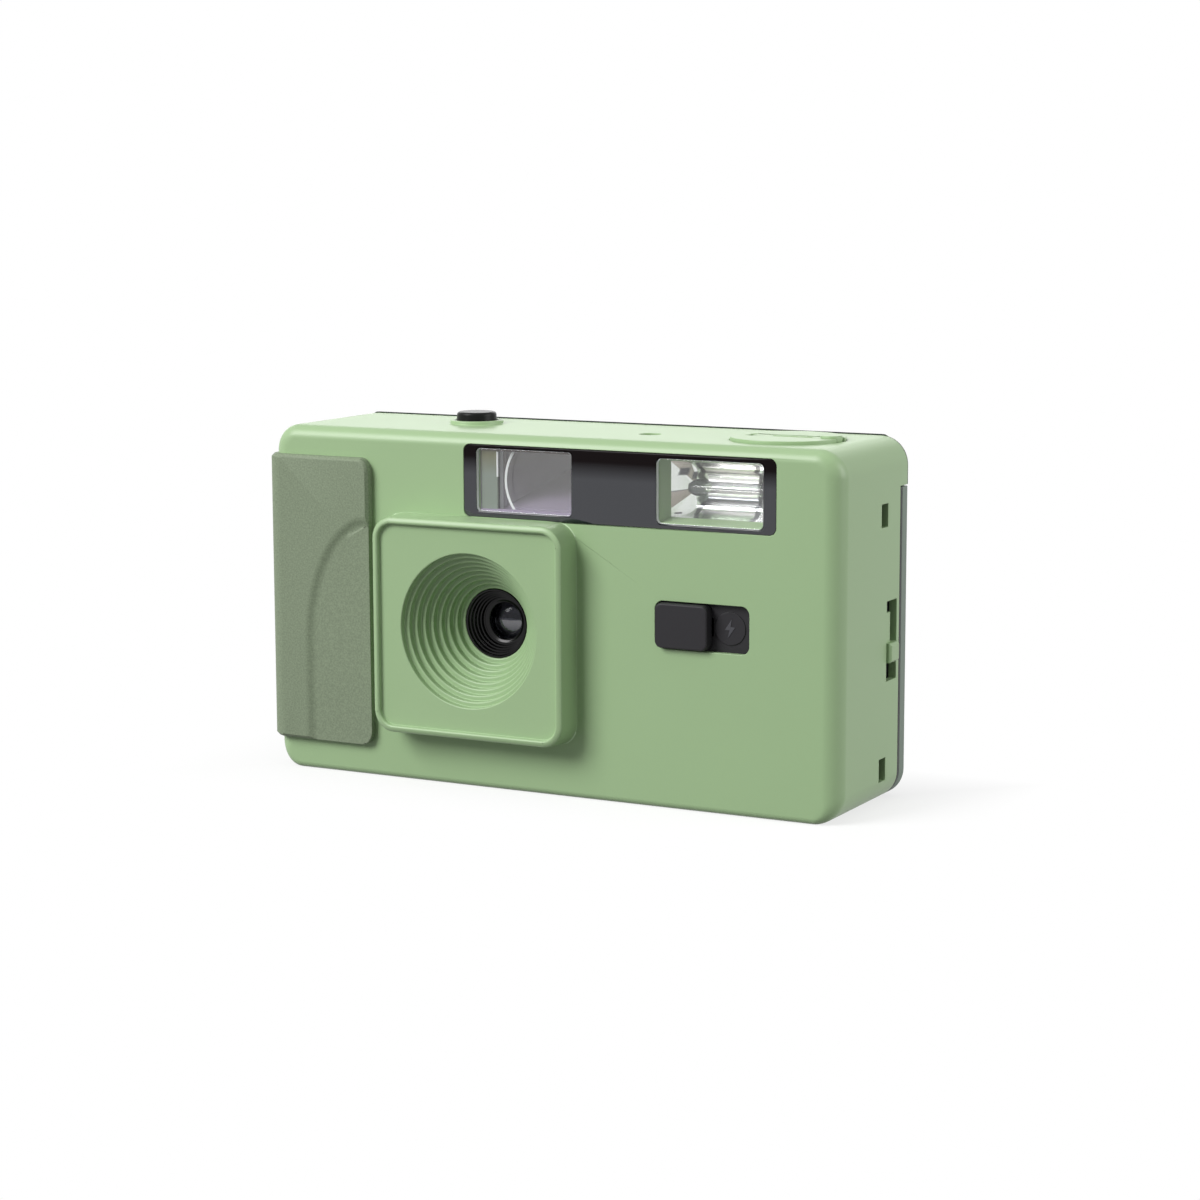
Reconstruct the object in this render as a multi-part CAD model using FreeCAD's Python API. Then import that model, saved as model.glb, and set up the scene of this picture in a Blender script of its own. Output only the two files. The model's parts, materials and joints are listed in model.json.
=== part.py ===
import FreeCAD, Part
import math
import os

# A reusable 35 mm film camera with a built-in flash, modelled in millimetres.
# The origin is the centre of the base. +Z is up, the lens looks along -Y, +X is on the
# right as seen from the front. Every piece is one function, and all sizes stand first.

V = FreeCAD.Vector

# Body shell
body_width = 114.0
body_height = 64.0
body_depth = 29.6
wall = 1.5
corner_radius = 5.0
side_edge_radius = 3.2
top_edge_radius = 2.4
bottom_edge_radius = 1.2
cover_back_step = 3.6
top_back_step = 0.5
fit_gap = 0.1
running_gap = 0.08
loose_gap = 0.25
rod_sides = 12
square_corner = math.sqrt(0.5)

# Lens housing and stepped recess
lens_share = 0.11184
lens_drop = 34.8
housing_left = 19.35
housing_right = 19.25
housing_below = 19.4
housing_above = 19.6
housing_depth = 5.45
housing_corner = 4.0
housing_draft = 0.35
rim_width = 1.2
rim_depth = 0.9
rim_fillet = 0.4
recess_radius = 13.85
step_count = 8
step_width = 0.935
step_depth = 1.25
boss_wall = 1.45

# Lens and shutter
barrel_clearance = 0.07
barrel_length = 6.6
barrel_wall = 1.1
glass_set_back = 4.0
glass_radius = 3.25
front_glass_thickness = 1.4
rear_glass_thickness = 1.1
retainer_width = 0.65
aperture_radius = 1.5
shutter_plate_thickness = 0.8
blade_thickness = 0.3
blade_radius = 2.9
blade_swing_deg = 30.0
blade_pivot_dx = -9.2
blade_pivot_dz = 2.3
pivot_radius = 0.8
release_leg_width = 0.9

# Film path
film_plane_y = 10.6
gate_width = 36.0
gate_height = 24.0
film_width = 35.0
deck_thickness = 1.0
rail_height = 0.4
top_bay_height = 15.2
cassette_inset = 16.5
cassette_chamber_radius = 12.8
chamber_wall = 1.0
chamber_floor_z = 5.2
nub_well_radius = 7.0
spool_inset = 14.6
spool_y = 3.6
spool_radius = 5.2
spool_shaft_radius = 2.0
spool_foot_radius = 1.5
thumb_wheel_radius = 12.0
thumb_wheel_thickness = 3.4
thumb_wheel_top_gap = 2.7
thumb_wheel_ribs = 30

# Film counter drive
sprocket_gap = 21.0
sprocket_teeth = 8
perforation_pitch = 4.75
perforation_drop = 2.8
tooth_height = 1.0
tooth_thickness = 1.8
sprocket_shaft_radius = 1.5
counter_dx = -7.1
counter_dy = -3.2
counter_teeth = 40
counter_radius = 5.85
finger_radius = 1.75

# Top controls
button_spool_gap = 18.8
button_y = 3.0
button_radius = 3.83
button_top = 2.2
button_travel = 1.5
collar_radius = 4.9
collar_height = 0.7
rewind_radius = 10.05
rewind_rise = 0.6
rewind_disc_thickness = 1.85
rewind_lift = 8.0
rewind_shaft_radius = 2.75
crank_knob_radius = 1.9
crank_pin_radius = 0.35
counter_window_dx = -4.9
counter_window_y = -1.7
counter_window_radius = 2.0

# Front window panel, viewfinder and flash
panel_left_margin = 2.5
panel_right_margin = 2.3
panel_top_gap = 1.9
panel_height = 12.95
panel_depth = 0.9
panel_corner = 1.3
finder_lead = 0.65
finder_counter_gap = 0.65
finder_top_gap = 2.5
finder_height = 11.3
finder_blank = 4.5
eyepiece_share = 0.608
eyepiece_height = 4.6
flash_overlap = 2.25
flash_width = 20.35
flash_top_gap = 2.7
flash_height = 11.4
flash_funnel_depth = 4.3
flash_taper = 0.85
reflector_depth = 6.0
reflector_wall = 0.5
flash_tube_radius = 1.2

# Flash switch
switch_cassette_gap = 18.3
switch_width = 18.0
switch_drop = 0.9
switch_height = 8.35
switch_corner = 1.5
switch_depth = 1.25
slider_width = 10.0
slider_proud = 1.2
slider_travel = 7.0

# Grip
grip_gap = 1.85
grip_bottom = 5.9
grip_top_gap = 5.3
grip_proud = 1.9
grip_back_y = 3.0
grip_corner = 2.6
grip_carving = 0.55
grip_edge_bevel = 0.6
arch_inset = 14.2
arch_top_drop = 11.6
arch_radius_x = 13.0
arch_radius_z = 23.0

# Right side
latch_slot_low = 21.9
latch_slot_high = 36.0
latch_slot_front = 5.6
latch_slot_back = 10.1
latch_tab_height = 3.5
latch_travel = 3.1
latch_proud = 0.75
snap_slot_front = 2.8
snap_slot_back = 5.7
snap_slot_height = 4.1
snap_low_z = 4.4
snap_high_drop = 14.9

# Back
rear_cover_depth = 1.5
door_top_gap = 8.6
door_skin = 1.5
door_rim_depth = 2.7
door_rim_width = 1.5
hinge_radius = 1.6
hinge_pin_radius = 0.6
hinge_ear_height = 6.0
hinge_low_z = 6.0
pressure_plate_thickness = 0.8
pressure_plate_margin = 2.6
door_window_width = 12.0
door_window_height = 26.0

# Base
battery_cassette_gap = 40.5
battery_y = -7.0
battery_z = 7.35
battery_radius = 5.25
battery_length = 44.5
battery_door_thickness = 1.4
battery_pin_radius = 0.7
release_radius = 2.0
release_travel = 1.2
strap_pocket_depth = 5.0
strap_pocket_height = 4.6
strap_pocket_length = 8.0
strap_bar_half = 0.9

# Small parts
screw_head_radius = 1.7
screw_shank_radius = 0.9
screw_boss_half = 2.0
screw_length = 6.0
button_spring_turns = 4
release_spring_turns = 3
spring_wire_radius = 0.25
capacitor_radius = 4.5
capacitor_length = 20.5
capacitor_drop = 8.2
capacitor_cassette_gap = 27.5
board_thickness = 1.2

# Positions worked out from the sizes
half_width = body_width / 2
front_y = -body_depth / 2
back_y = body_depth / 2
inner_front_y = front_y + wall
lens_x = -lens_share * body_width
lens_z = body_height - lens_drop
side_back_y = back_y - cover_back_step
top_back_y = back_y - top_back_step
door_top_z = body_height - door_top_gap
notch_z = door_top_z + 2 * fit_gap
door_rim_y = back_y - door_rim_depth
door_inner_y = back_y - door_skin
flange_back_y = door_rim_y - 1.5 * fit_gap

face_y = front_y - housing_depth + rim_depth
mouth_radius = recess_radius - step_count * step_width
mouth_y = face_y + step_count * step_depth
barrel_radius = mouth_radius - barrel_clearance
glass_y = mouth_y + glass_set_back
barrel_back_y = mouth_y + barrel_length
aperture_y = barrel_back_y + fit_gap
blade_y = aperture_y + 0.2 + fit_gap
shutter_plate_y = blade_y + blade_thickness + fit_gap
tunnel_front_y = shutter_plate_y + shutter_plate_thickness

deck_z = body_height - top_bay_height
deck_top_z = deck_z + deck_thickness
roof_z = body_height - wall
cassette_x = half_width - cassette_inset
spool_x = -(half_width - spool_inset)
spool_floor_z = lens_z - film_width / 2 - 1.7
film_deck_y = film_plane_y - rail_height
gate_left = lens_x - gate_width / 2
gate_right = lens_x + gate_width / 2
gate_low = lens_z - gate_height / 2
gate_high = lens_z + gate_height / 2
spool_room_right = gate_left - 1.45
spool_room_left = -(half_width - wall) + 1.2
spool_room_front = spool_y - thumb_wheel_radius - 0.6

sprocket_x = cassette_x - sprocket_gap
sprocket_root_radius = sprocket_teeth * perforation_pitch / (2 * math.pi) - 0.1
sprocket_y = film_plane_y - sprocket_root_radius
sprocket_z = lens_z + film_width / 2 - perforation_drop
sprocket_low_z = 8.5
bearing_z = sprocket_low_z - 1.5
counter_x = sprocket_x + counter_dx
counter_y = sprocket_y + counter_dy
counter_z = roof_z - 2.3
counter_window_x = sprocket_x + counter_window_dx

button_x = spool_x + button_spool_gap
pivot_x = lens_x + blade_pivot_dx
pivot_z = lens_z + blade_pivot_dz
tail_radius = button_travel / math.radians(blade_swing_deg)
tail_x = pivot_x - tail_radius
tail_top_z = pivot_z + 0.9
button_flange_top = roof_z - 2 * fit_gap
button_flange_z = button_flange_top - 1.1
spring_seat_z = button_flange_z - 5.0

well_floor_z = body_height - 1.4
disc_z = body_height + rewind_rise - rewind_disc_thickness
fork_z = deck_z - 4.6
crank_x = cassette_x - 6.4
clip_z = well_floor_z - 0.8 - rewind_lift - 0.8

finder_left = lens_x - finder_lead
finder_right = counter_x - counter_radius - finder_counter_gap
finder_lens_left = finder_left + finder_blank
flash_right = cassette_x + flash_overlap
flash_left = flash_right - flash_width
panel_left = finder_left - panel_left_margin
panel_right = flash_right + panel_right_margin
panel_top = body_height - panel_top_gap
panel_bottom = panel_top - panel_height
finder_top = body_height - finder_top_gap
finder_bottom = finder_top - finder_height
flash_top = body_height - flash_top_gap
flash_bottom = flash_top - flash_height
finder_mid_x = (finder_lens_left + finder_right) / 2
eyepiece_width = eyepiece_share * (finder_right - finder_lens_left)
eyepiece_z = door_top_z + 1.7 + eyepiece_height / 2
wheel_top_z = body_height - thumb_wheel_top_gap
wheel_z = wheel_top_z - thumb_wheel_thickness

switch_left = cassette_x - switch_cassette_gap
switch_right = switch_left + switch_width
switch_bottom = lens_z - switch_drop
switch_top = switch_bottom + switch_height
switch_face_y = front_y + switch_depth
switch_plate_back = switch_face_y + 0.6
slider_left = switch_left + 0.5

grip_left = -half_width - grip_proud
grip_right = lens_x - housing_left - grip_gap
grip_top = body_height - grip_top_gap
grip_front_y = front_y - grip_proud

latch_x = half_width - wall
chamber_right_x = cassette_x + cassette_chamber_radius + chamber_wall
latch_inner_x = chamber_right_x + fit_gap
hinge_x = -half_width + hinge_radius
hinge_y = back_y - hinge_radius
hinge_relief = hinge_radius + 0.55
hinge_high_z = door_top_z - hinge_low_z - hinge_ear_height
latch_rear_y = flange_back_y - 1.0

battery_x = cassette_x - battery_cassette_gap
battery_half = battery_length / 2
cradle_x = battery_half + 1.9
battery_door_front = battery_y - battery_radius + 0.2
battery_hinge_y = battery_y + battery_radius - 0.3
battery_hinge_z = wall / 2
strap_pocket_z = 2.6
strap_pocket_y = -1.5
strap_pocket_x = -half_width + strap_pocket_depth
strap_pocket_back = strap_pocket_y + strap_pocket_length
strap_pocket_top = strap_pocket_z + strap_pocket_height
board_y = -2.4
capacitor_x = cassette_x - capacitor_cassette_gap


def box(x0, x1, y0, y1, z0, z1):
    return Part.makeBox(x1 - x0, y1 - y0, z1 - z0, V(x0, y0, z0))


def post_y(x, z, radius, y0, y1):
    return Part.makeCylinder(radius, y1 - y0, V(x, y0, z), V(0, 1, 0))


def post_z(x, y, radius, z0, z1):
    return Part.makeCylinder(radius, z1 - z0, V(x, y, z0), V(0, 0, 1))


def rod_z(x, y, radius, z0, z1, sides=rod_sides):
    # Hidden round pieces are many-sided, which keeps the model light.
    turn = 2 * math.pi / sides
    points = [V(x + radius * math.cos(i * turn), y + radius * math.sin(i * turn), z0) for i in range(sides)]
    return Part.Face(Part.makePolygon(points + [points[0]])).extrude(V(0, 0, z1 - z0))


def rod_y(x, z, radius, y0, y1, sides=rod_sides):
    rod = rod_z(0, 0, radius, 0, y1 - y0, sides)
    rod.rotate(V(0, 0, 0), V(1, 0, 0), -90)
    rod.translate(V(x, y0, z))
    return rod


def rod_x(y, z, radius, x0, x1, sides=rod_sides):
    rod = rod_z(0, 0, radius, 0, x1 - x0, sides)
    rod.rotate(V(0, 0, 0), V(0, 1, 0), 90)
    rod.translate(V(x0, y, z))
    return rod


def bore(radius):
    # The size of a many-sided hole whose flats stand at this radius
    return radius / math.cos(math.pi / rod_sides)


def join(first, *others):
    return first.fuse(list(others)).removeSplitter()


def cut(base, *tools):
    for tool in tools:
        base = base.cut(tool)
    return base


def rounded_wire(x0, x1, z0, z1, radius, y):
    # A rectangle with rounded corners, drawn in the plane at y.
    x_in0, x_in1 = x0 + radius, x1 - radius
    z_in0, z_in1 = z0 + radius, z1 - radius
    bow = radius * square_corner
    corners = (
        (V(x_in1, y, z0), V(x_in1 + bow, y, z_in0 - bow), V(x1, y, z_in0)),
        (V(x1, y, z_in1), V(x_in1 + bow, y, z_in1 + bow), V(x_in1, y, z1)),
        (V(x_in0, y, z1), V(x_in0 - bow, y, z_in1 + bow), V(x0, y, z_in1)),
        (V(x0, y, z_in0), V(x_in0 - bow, y, z_in0 - bow), V(x_in0, y, z0)),
    )
    edges = []
    for index, (start, middle, end) in enumerate(corners):
        edges.append(Part.Arc(start, middle, end).toShape())
        edges.append(Part.makeLine(end, corners[(index + 1) % 4][0]))
    return Part.Wire(edges)


def rounded_block(x0, x1, z0, z1, radius, y0, y1):
    face = Part.Face(rounded_wire(x0, x1, z0, z1, radius, y0))
    return face.extrude(V(0, y1 - y0, 0))


def tapered_box(near, far):
    # Each end is (x0, x1, z0, z1, y), and the first one lies in front.
    x0, x1, z0, z1, y0 = near
    far_x0, far_x1, far_z0, far_z1, y1 = far
    return Part.makeWedge(x0, y0, z0, far_z0, far_x0, x1, y1, z1, far_z1, far_x1)


def tapered_block(near, far, radius):
    # The same with its four long edges rounded.
    block = tapered_box(near, far)
    return block.makeFillet(radius, [e for e in block.Edges if e.BoundBox.YLength > 0.9 * (far[4] - near[4])])


def body_block(inset, y0, y1):
    radius = max(corner_radius - inset, 0.6)
    right = half_width - inset
    return rounded_block(-right, right, inset, body_height - inset, radius, y0, y1)


def edges_at_y(shape, y):
    return [e for e in shape.Edges if abs(e.BoundBox.YMin - y) < 1e-4 and abs(e.BoundBox.YMax - y) < 1e-4]


def turned_y(profile, x, z):
    # A solid of revolution about a line along Y. The profile is a list of (radius, y).
    points = [V(x + r, y, z) for r, y in profile]
    face = Part.Face(Part.makePolygon(points + [points[0]]))
    return face.revolve(V(x, 0, z), V(0, 1, 0), 360)


def outline_plate(points, y0, y1):
    # A flat plate whose outline is a list of (x, z).
    corners = [V(x, y0, z) for x, z in points]
    face = Part.Face(Part.makePolygon(corners + [corners[0]]))
    return face.extrude(V(0, y1 - y0, 0))


def blended_body(y_end):
    # The outer form of the front cover. Its front edge is rounder at the sides than at the base.
    block = body_block(0, front_y, y_end)
    doc = FreeCAD.newDocument("blend")
    base = doc.addObject("Part::Feature", "base")
    base.Shape = block
    fillet = doc.addObject("Part::Fillet", "fillet")
    fillet.Base = base
    middle = body_height / 2

    def radius_at(point):
        if abs(abs(point.x) - half_width) < 1e-3:
            return side_edge_radius
        return top_edge_radius if point.z > middle else bottom_edge_radius

    settings = []
    for number, edge in enumerate(block.Edges, 1):
        if abs(edge.BoundBox.YMin - front_y) < 1e-4 and abs(edge.BoundBox.YMax - front_y) < 1e-4:
            first = edge.valueAt(edge.FirstParameter)
            last = edge.valueAt(edge.LastParameter)
            settings.append((number, radius_at(first), radius_at(last)))
    fillet.Edges = settings
    doc.recompute()
    shape = fillet.Shape.copy()
    FreeCAD.closeDocument(doc.Name)
    return shape


def screw_places():
    # (x, z, y where the boss starts on the front cover)
    high = deck_top_z + screw_boss_half + 0.5
    return (
        (finder_right + screw_boss_half + 0.4, high, inner_front_y),
        (spool_x + 8.4, high, inner_front_y),
        (battery_x - cradle_x - screw_boss_half - 2.4, wall + screw_boss_half + 3.0, inner_front_y),
    )


def housing_outline(grow):
    return (
        lens_x - housing_left - grow,
        lens_x + housing_right + grow,
        lens_z - housing_below - grow,
        lens_z + housing_above + grow,
    )


def stepped_recess():
    # The recess narrows to the lens in equal steps, like a lens shade turned outside in.
    profile = [(0, face_y - 1), (recess_radius, face_y - 1)]
    for step in range(step_count):
        radius = recess_radius - step * step_width
        depth = face_y + (step + 1) * step_depth
        profile.append((radius, depth))
        profile.append((radius - step_width, depth))
    profile.append((mouth_radius, mouth_y + 3))
    profile.append((0, mouth_y + 3))
    return turned_y(profile, lens_x, lens_z)


def front_cover():
    shell = blended_body(top_back_y)
    tip_y = front_y - housing_depth
    housing = tapered_block(
        (*housing_outline(0), tip_y),
        (*housing_outline(housing_draft), front_y + 0.5),
        housing_corner,
    )
    housing = housing.makeChamfer(rim_fillet, edges_at_y(housing, tip_y))
    cover = shell.fuse(housing)

    cover = cut(cover, body_block(wall, inner_front_y, back_y + 1))
    left, right, low, high = housing_outline(-wall - 1)
    hollow = box(left, right, face_y + wall, inner_front_y + 0.1, low, high)
    dish = rounded_block(*housing_outline(-rim_width), housing_corner - rim_width, tip_y - 1, face_y)
    cover = cut(cover, hollow, dish)

    # The boss that carries the steps
    boss_front = face_y + wall / 2
    boss_back = mouth_y + 1.6
    wide = recess_radius + boss_wall
    narrow = mouth_radius + boss_wall
    square = tapered_box((-wide, wide, -wide, wide, boss_front), (-narrow, narrow, -narrow, narrow, boss_back))
    turned = square.copy()
    turned.rotate(V(0, 0, 0), V(0, 1, 0), 45)
    boss = square.common(turned)
    boss.translate(V(lens_x, 0, lens_z))
    cover = cut(cover.fuse(boss), stepped_recess())

    # Notch for the back door, and room for its hinge
    cover = cut(cover, box(-half_width - 1, half_width + 1, side_back_y, back_y + 1, -1, notch_z))
    cover = cut(cover, post_z(hinge_x, hinge_y, hinge_relief, -1, notch_z))

    # Screw bosses
    for x, z, start_y in screw_places():
        half = screw_boss_half
        back = film_deck_y - deck_thickness - fit_gap
        cover = cover.fuse(box(x - half, x + half, start_y - 0.3, back, z - half, z + half))
        cover = cut(cover, rod_y(x, z, bore(screw_shank_radius), film_deck_y - 8, film_deck_y))

    # Window panel pocket and the holes behind its two windows
    cover = cut(
        cover,
        rounded_block(
            panel_left - fit_gap / 2,
            panel_right + fit_gap / 2,
            panel_bottom - fit_gap / 2,
            panel_top + fit_gap / 2,
            panel_corner,
            front_y - 0.01,
            front_y + panel_depth + fit_gap / 2,
        ),
    )
    cover = cut(
        cover,
        box(finder_left + 0.5, finder_right - 0.5, front_y, inner_front_y + 1, finder_bottom + 0.5, finder_top - 0.5),
    )

    # Flash funnel
    funnel_back = front_y + flash_funnel_depth
    funnel = box(
        flash_left - 0.9,
        flash_right + 0.9,
        inner_front_y - 0.2,
        funnel_back,
        flash_bottom - 0.7,
        flash_top + 0.7,
    )
    cover = cover.fuse(funnel)
    mouth = (flash_left, flash_right, flash_bottom, flash_top, front_y)
    throat = (
        flash_left + flash_taper,
        flash_right - flash_taper,
        flash_bottom + flash_taper,
        flash_top - flash_taper,
        funnel_back + 0.01,
    )
    cover = cut(cover, tapered_box(mouth, throat))

    # Flash switch opening
    cover = cut(
        cover,
        rounded_block(switch_left, switch_right, switch_bottom, switch_top, switch_corner, front_y - 1, switch_face_y),
        box(
            switch_left - 1,
            switch_right + 1,
            switch_face_y,
            inner_front_y + 1,
            switch_bottom - 0.9,
            switch_top + 0.9,
        ),
    )

    # Right side: two snap slots and the latch slot
    for low in (snap_low_z, body_height - snap_high_drop):
        cover = cut(
            cover,
            box(half_width - 2, half_width + 1, snap_slot_front, snap_slot_back, low, low + snap_slot_height),
        )
    cover = cut(
        cover,
        box(
            half_width - 2,
            half_width + 1,
            latch_slot_front,
            latch_slot_back,
            latch_slot_low,
            latch_slot_high,
        ),
    )

    # Button collar
    cover = cover.fuse(post_z(button_x, button_y, collar_radius, roof_z, body_height + collar_height))
    cover = cut(cover, post_z(button_x, button_y, button_radius + 0.12, roof_z - 1, body_height + 2))

    # Rewind well
    reach = rewind_radius + 1.2
    cover = cover.fuse(
        box(cassette_x - reach, cassette_x + reach, -reach, reach, well_floor_z - 0.8, roof_z + 0.2)
    )
    cover = cut(
        cover,
        post_z(cassette_x, 0, rewind_radius + 0.15, well_floor_z, body_height + 1),
        rod_z(cassette_x, 0, bore(rewind_shaft_radius + running_gap), well_floor_z - 2, well_floor_z + 1),
    )

    # Frame counter opening and the seat of its window below
    cover = cut(
        cover,
        post_z(counter_window_x, counter_window_y, counter_window_radius, roof_z - 1, body_height + 1),
        box(
            counter_window_x - counter_window_radius - 0.3,
            counter_window_x + counter_window_radius + 0.3,
            counter_window_y - counter_window_radius - 0.3,
            counter_window_y + counter_window_radius + 0.3,
            roof_z - 0.1,
            body_height - 0.9,
        ),
    )

    # Base: battery opening, rewind release hole, strap pocket
    cover = cut(
        cover,
        box(
            battery_x - battery_half - 1.7,
            battery_x + battery_half + 1.7,
            battery_door_front - loose_gap,
            battery_hinge_y + battery_pin_radius + 0.15,
            -1,
            wall + 0.01,
        ),
        box(
            battery_x - battery_half - 2.9,
            battery_x + battery_half + 2.9,
            battery_hinge_y - 0.5,
            battery_hinge_y + 0.5,
            battery_hinge_z - 0.5,
            wall + 0.01,
        ),
        post_z(sprocket_x, sprocket_y, release_radius + 0.12, -1, wall + 1),
    )
    cover = cover.fuse(
        box(
            -half_width + 1,
            strap_pocket_x + 1,
            strap_pocket_y - 1,
            strap_pocket_back + 1,
            1,
            strap_pocket_top + 1,
        )
    )
    cover = cut(
        cover,
        box(
            -half_width - 1,
            strap_pocket_x,
            strap_pocket_y,
            strap_pocket_back,
            strap_pocket_z,
            strap_pocket_top,
        ),
    )
    bar_y = strap_pocket_y + strap_pocket_length / 2
    bar = box(
        -half_width + 0.4,
        -half_width + 0.4 + 2 * strap_bar_half,
        bar_y - strap_bar_half,
        bar_y + strap_bar_half,
        strap_pocket_z - 0.1,
        strap_pocket_top + 0.1,
    )
    cover = cover.fuse(bar)
    return cover.removeSplitter()


def arch_wire(y):
    # The carved panel of the grip: a straight left edge that bends over to the right like an arch.
    left = -half_width + arch_inset - 5.4
    top = grip_top - arch_top_drop
    spring = top - arch_radius_z
    foot = grip_bottom - 3
    end = grip_right + 3
    ellipse = Part.Ellipse(V(left + arch_radius_x, y, top), V(left, y, spring), V(left + arch_radius_x, y, spring))
    arc = Part.ArcOfEllipse(ellipse, 0, math.pi / 2).toShape()
    points = [arc.valueAt(arc.FirstParameter), arc.valueAt(arc.LastParameter)]
    high, low = sorted(points, key=lambda point: -point.z)
    edges = [
        arc,
        Part.makeLine(high, V(end, y, high.z)),
        Part.makeLine(V(end, y, high.z), V(end, y, foot)),
        Part.makeLine(V(end, y, foot), V(low.x, y, foot)),
        Part.makeLine(V(low.x, y, foot), low),
    ]
    return Part.Wire(Part.__sortEdges__(edges))


def middle_of(edge):
    return edge.valueAt((edge.FirstParameter + edge.LastParameter) / 2)


def hand_grip():
    # The plan wraps round the left side of the body, and the carved arch is cut into its face
    bend = side_edge_radius + 1.0
    slant = bend * (1 - square_corner)
    corners = [
        V(grip_right, grip_front_y, grip_bottom),
        V(grip_left + bend, grip_front_y, grip_bottom),
        V(grip_left, grip_front_y + bend, grip_bottom),
        V(grip_left, grip_back_y, grip_bottom),
        V(grip_right, grip_back_y, grip_bottom),
    ]
    bend_middle = V(grip_left + slant, grip_front_y + slant, grip_bottom)
    plan = Part.Wire(
        [
            Part.makeLine(corners[0], corners[1]),
            Part.Arc(corners[1], bend_middle, corners[2]).toShape(),
            Part.makeLine(corners[2], corners[3]),
            Part.makeLine(corners[3], corners[4]),
            Part.makeLine(corners[4], corners[0]),
        ]
    )
    block = Part.Face(plan).extrude(V(0, 0, grip_top - grip_bottom))

    right_edges = []
    for edge in block.Edges:
        middle = middle_of(edge)
        if abs(middle.x - grip_right) < 1e-3 and abs(middle.z - (grip_top + grip_bottom) / 2) > 1:
            right_edges.append(edge)
    block = block.makeFillet(grip_corner, right_edges)

    rim = []
    for edge in block.Edges:
        middle = middle_of(edge)
        on_bend = abs(math.hypot(middle.x - grip_left - bend, middle.y - grip_front_y - bend) - bend) < 1e-3
        outside = abs(middle.y - grip_front_y) < 1e-3 or abs(middle.x - grip_left) < 1e-3 or on_bend
        at_end = min(abs(middle.z - grip_top), abs(middle.z - grip_bottom)) < 1e-3
        at_right = middle.x > grip_right - grip_corner
        if outside and (at_end or at_right):
            rim.append(edge)
    block = block.makeChamfer(grip_edge_bevel, rim)

    panel = Part.Face(arch_wire(grip_front_y - 1)).extrude(V(0, 1 + grip_carving, 0))
    return cut(block, panel, blended_body(back_y))


def window_panel():
    panel = rounded_block(
        panel_left, panel_right, panel_bottom, panel_top, panel_corner, front_y, front_y + panel_depth
    )
    finder = box(finder_left, finder_right, front_y - 1, front_y + 1, finder_bottom, finder_top)
    flash = box(flash_left, flash_right, front_y - 1, front_y + 1, flash_bottom, flash_top)
    return cut(panel, finder, flash)


def pane(left, right, low, high):
    gap = fit_gap / 2
    return box(left + gap, right - gap, front_y + gap, front_y + panel_depth, low + gap, high - gap)


def viewfinder_window():
    return pane(finder_left, finder_right, finder_bottom, finder_top)


def flash_window():
    return pane(flash_left, flash_right, flash_bottom, flash_top)


def finder_frame():
    # The walls of the viewfinder's light path, open at both ends
    front = inner_front_y + 1.4
    low, high = finder_bottom + 0.7, finder_top - 0.5
    outer = (finder_lens_left - 0.8, finder_right + 0.2, low - 0.6, high + 0.4)
    rear = (
        finder_mid_x - eyepiece_width / 2 - 0.8,
        finder_mid_x + eyepiece_width / 2 + 0.8,
        eyepiece_z - eyepiece_height / 2 - 0.8,
        eyepiece_z + eyepiece_height / 2 + 0.4,
    )
    end = back_y - rear_cover_depth - 1.2 - fit_gap
    body = tapered_box((*outer, front), (*rear, end))
    hole = tapered_box(
        (outer[0] + 0.8, outer[1] - 0.8, outer[2] + 0.6, outer[3] - 0.4, front - 0.01),
        (rear[0] + 0.8, rear[1] - 0.8, rear[2] + 0.8, rear[3] - 0.4, end + 0.01),
    )
    return cut(body, hole)


def viewfinder_front_lens():
    # A flat front and a back hollowed from side to side
    low, high = finder_bottom + 0.15, finder_top - 0.15
    front = inner_front_y + fit_gap
    lens = box(finder_lens_left - 0.6, finder_right, front, front + 1.3, low, high)
    hollow = post_z(finder_mid_x, front + 1.3 + 13.0, 13.8, low - 1, high + 1)
    return cut(lens, hollow)


def viewfinder_rear_lens():
    front = back_y - rear_cover_depth - 1.2
    lens = box(
        finder_mid_x - eyepiece_width / 2 + fit_gap,
        finder_mid_x + eyepiece_width / 2 - fit_gap,
        front,
        back_y - 0.6,
        eyepiece_z - eyepiece_height / 2 + fit_gap,
        eyepiece_z + eyepiece_height / 2 - fit_gap,
    )
    rounding = post_z(finder_mid_x, back_y - 0.6 - 22, 22, 0, body_height)
    return lens.common(rounding)


def flash_reflector():
    front = front_y + flash_funnel_depth + fit_gap / 2
    inset = flash_taper
    left, right = flash_left + inset - 0.3, flash_right - inset + 0.3
    low, high = flash_bottom + inset - 0.3, flash_top - inset + 0.3
    back = front + reflector_depth
    mid = (low + high) / 2
    outer = tapered_box(
        (left - reflector_wall, right + reflector_wall, low - reflector_wall, high + reflector_wall, front),
        (left + 1.2, right - 1.2, mid - 2.2, mid + 2.2, back),
    )
    inner = tapered_box(
        (left, right, low, high, front - 0.01),
        (left + 1.8, right - 1.8, mid - 1.6, mid + 1.6, back - reflector_wall),
    )
    tube = rod_x(back - 2.4, mid, bore(flash_tube_radius + 0.05), left - 2, right + 2)
    return cut(outer, inner, tube)


def flash_tube():
    front = front_y + flash_funnel_depth + fit_gap / 2
    back = front + reflector_depth
    mid = (flash_bottom + flash_top) / 2
    return rod_x(back - 2.4, mid, flash_tube_radius, flash_left - 0.3, flash_right + 0.3)


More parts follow.
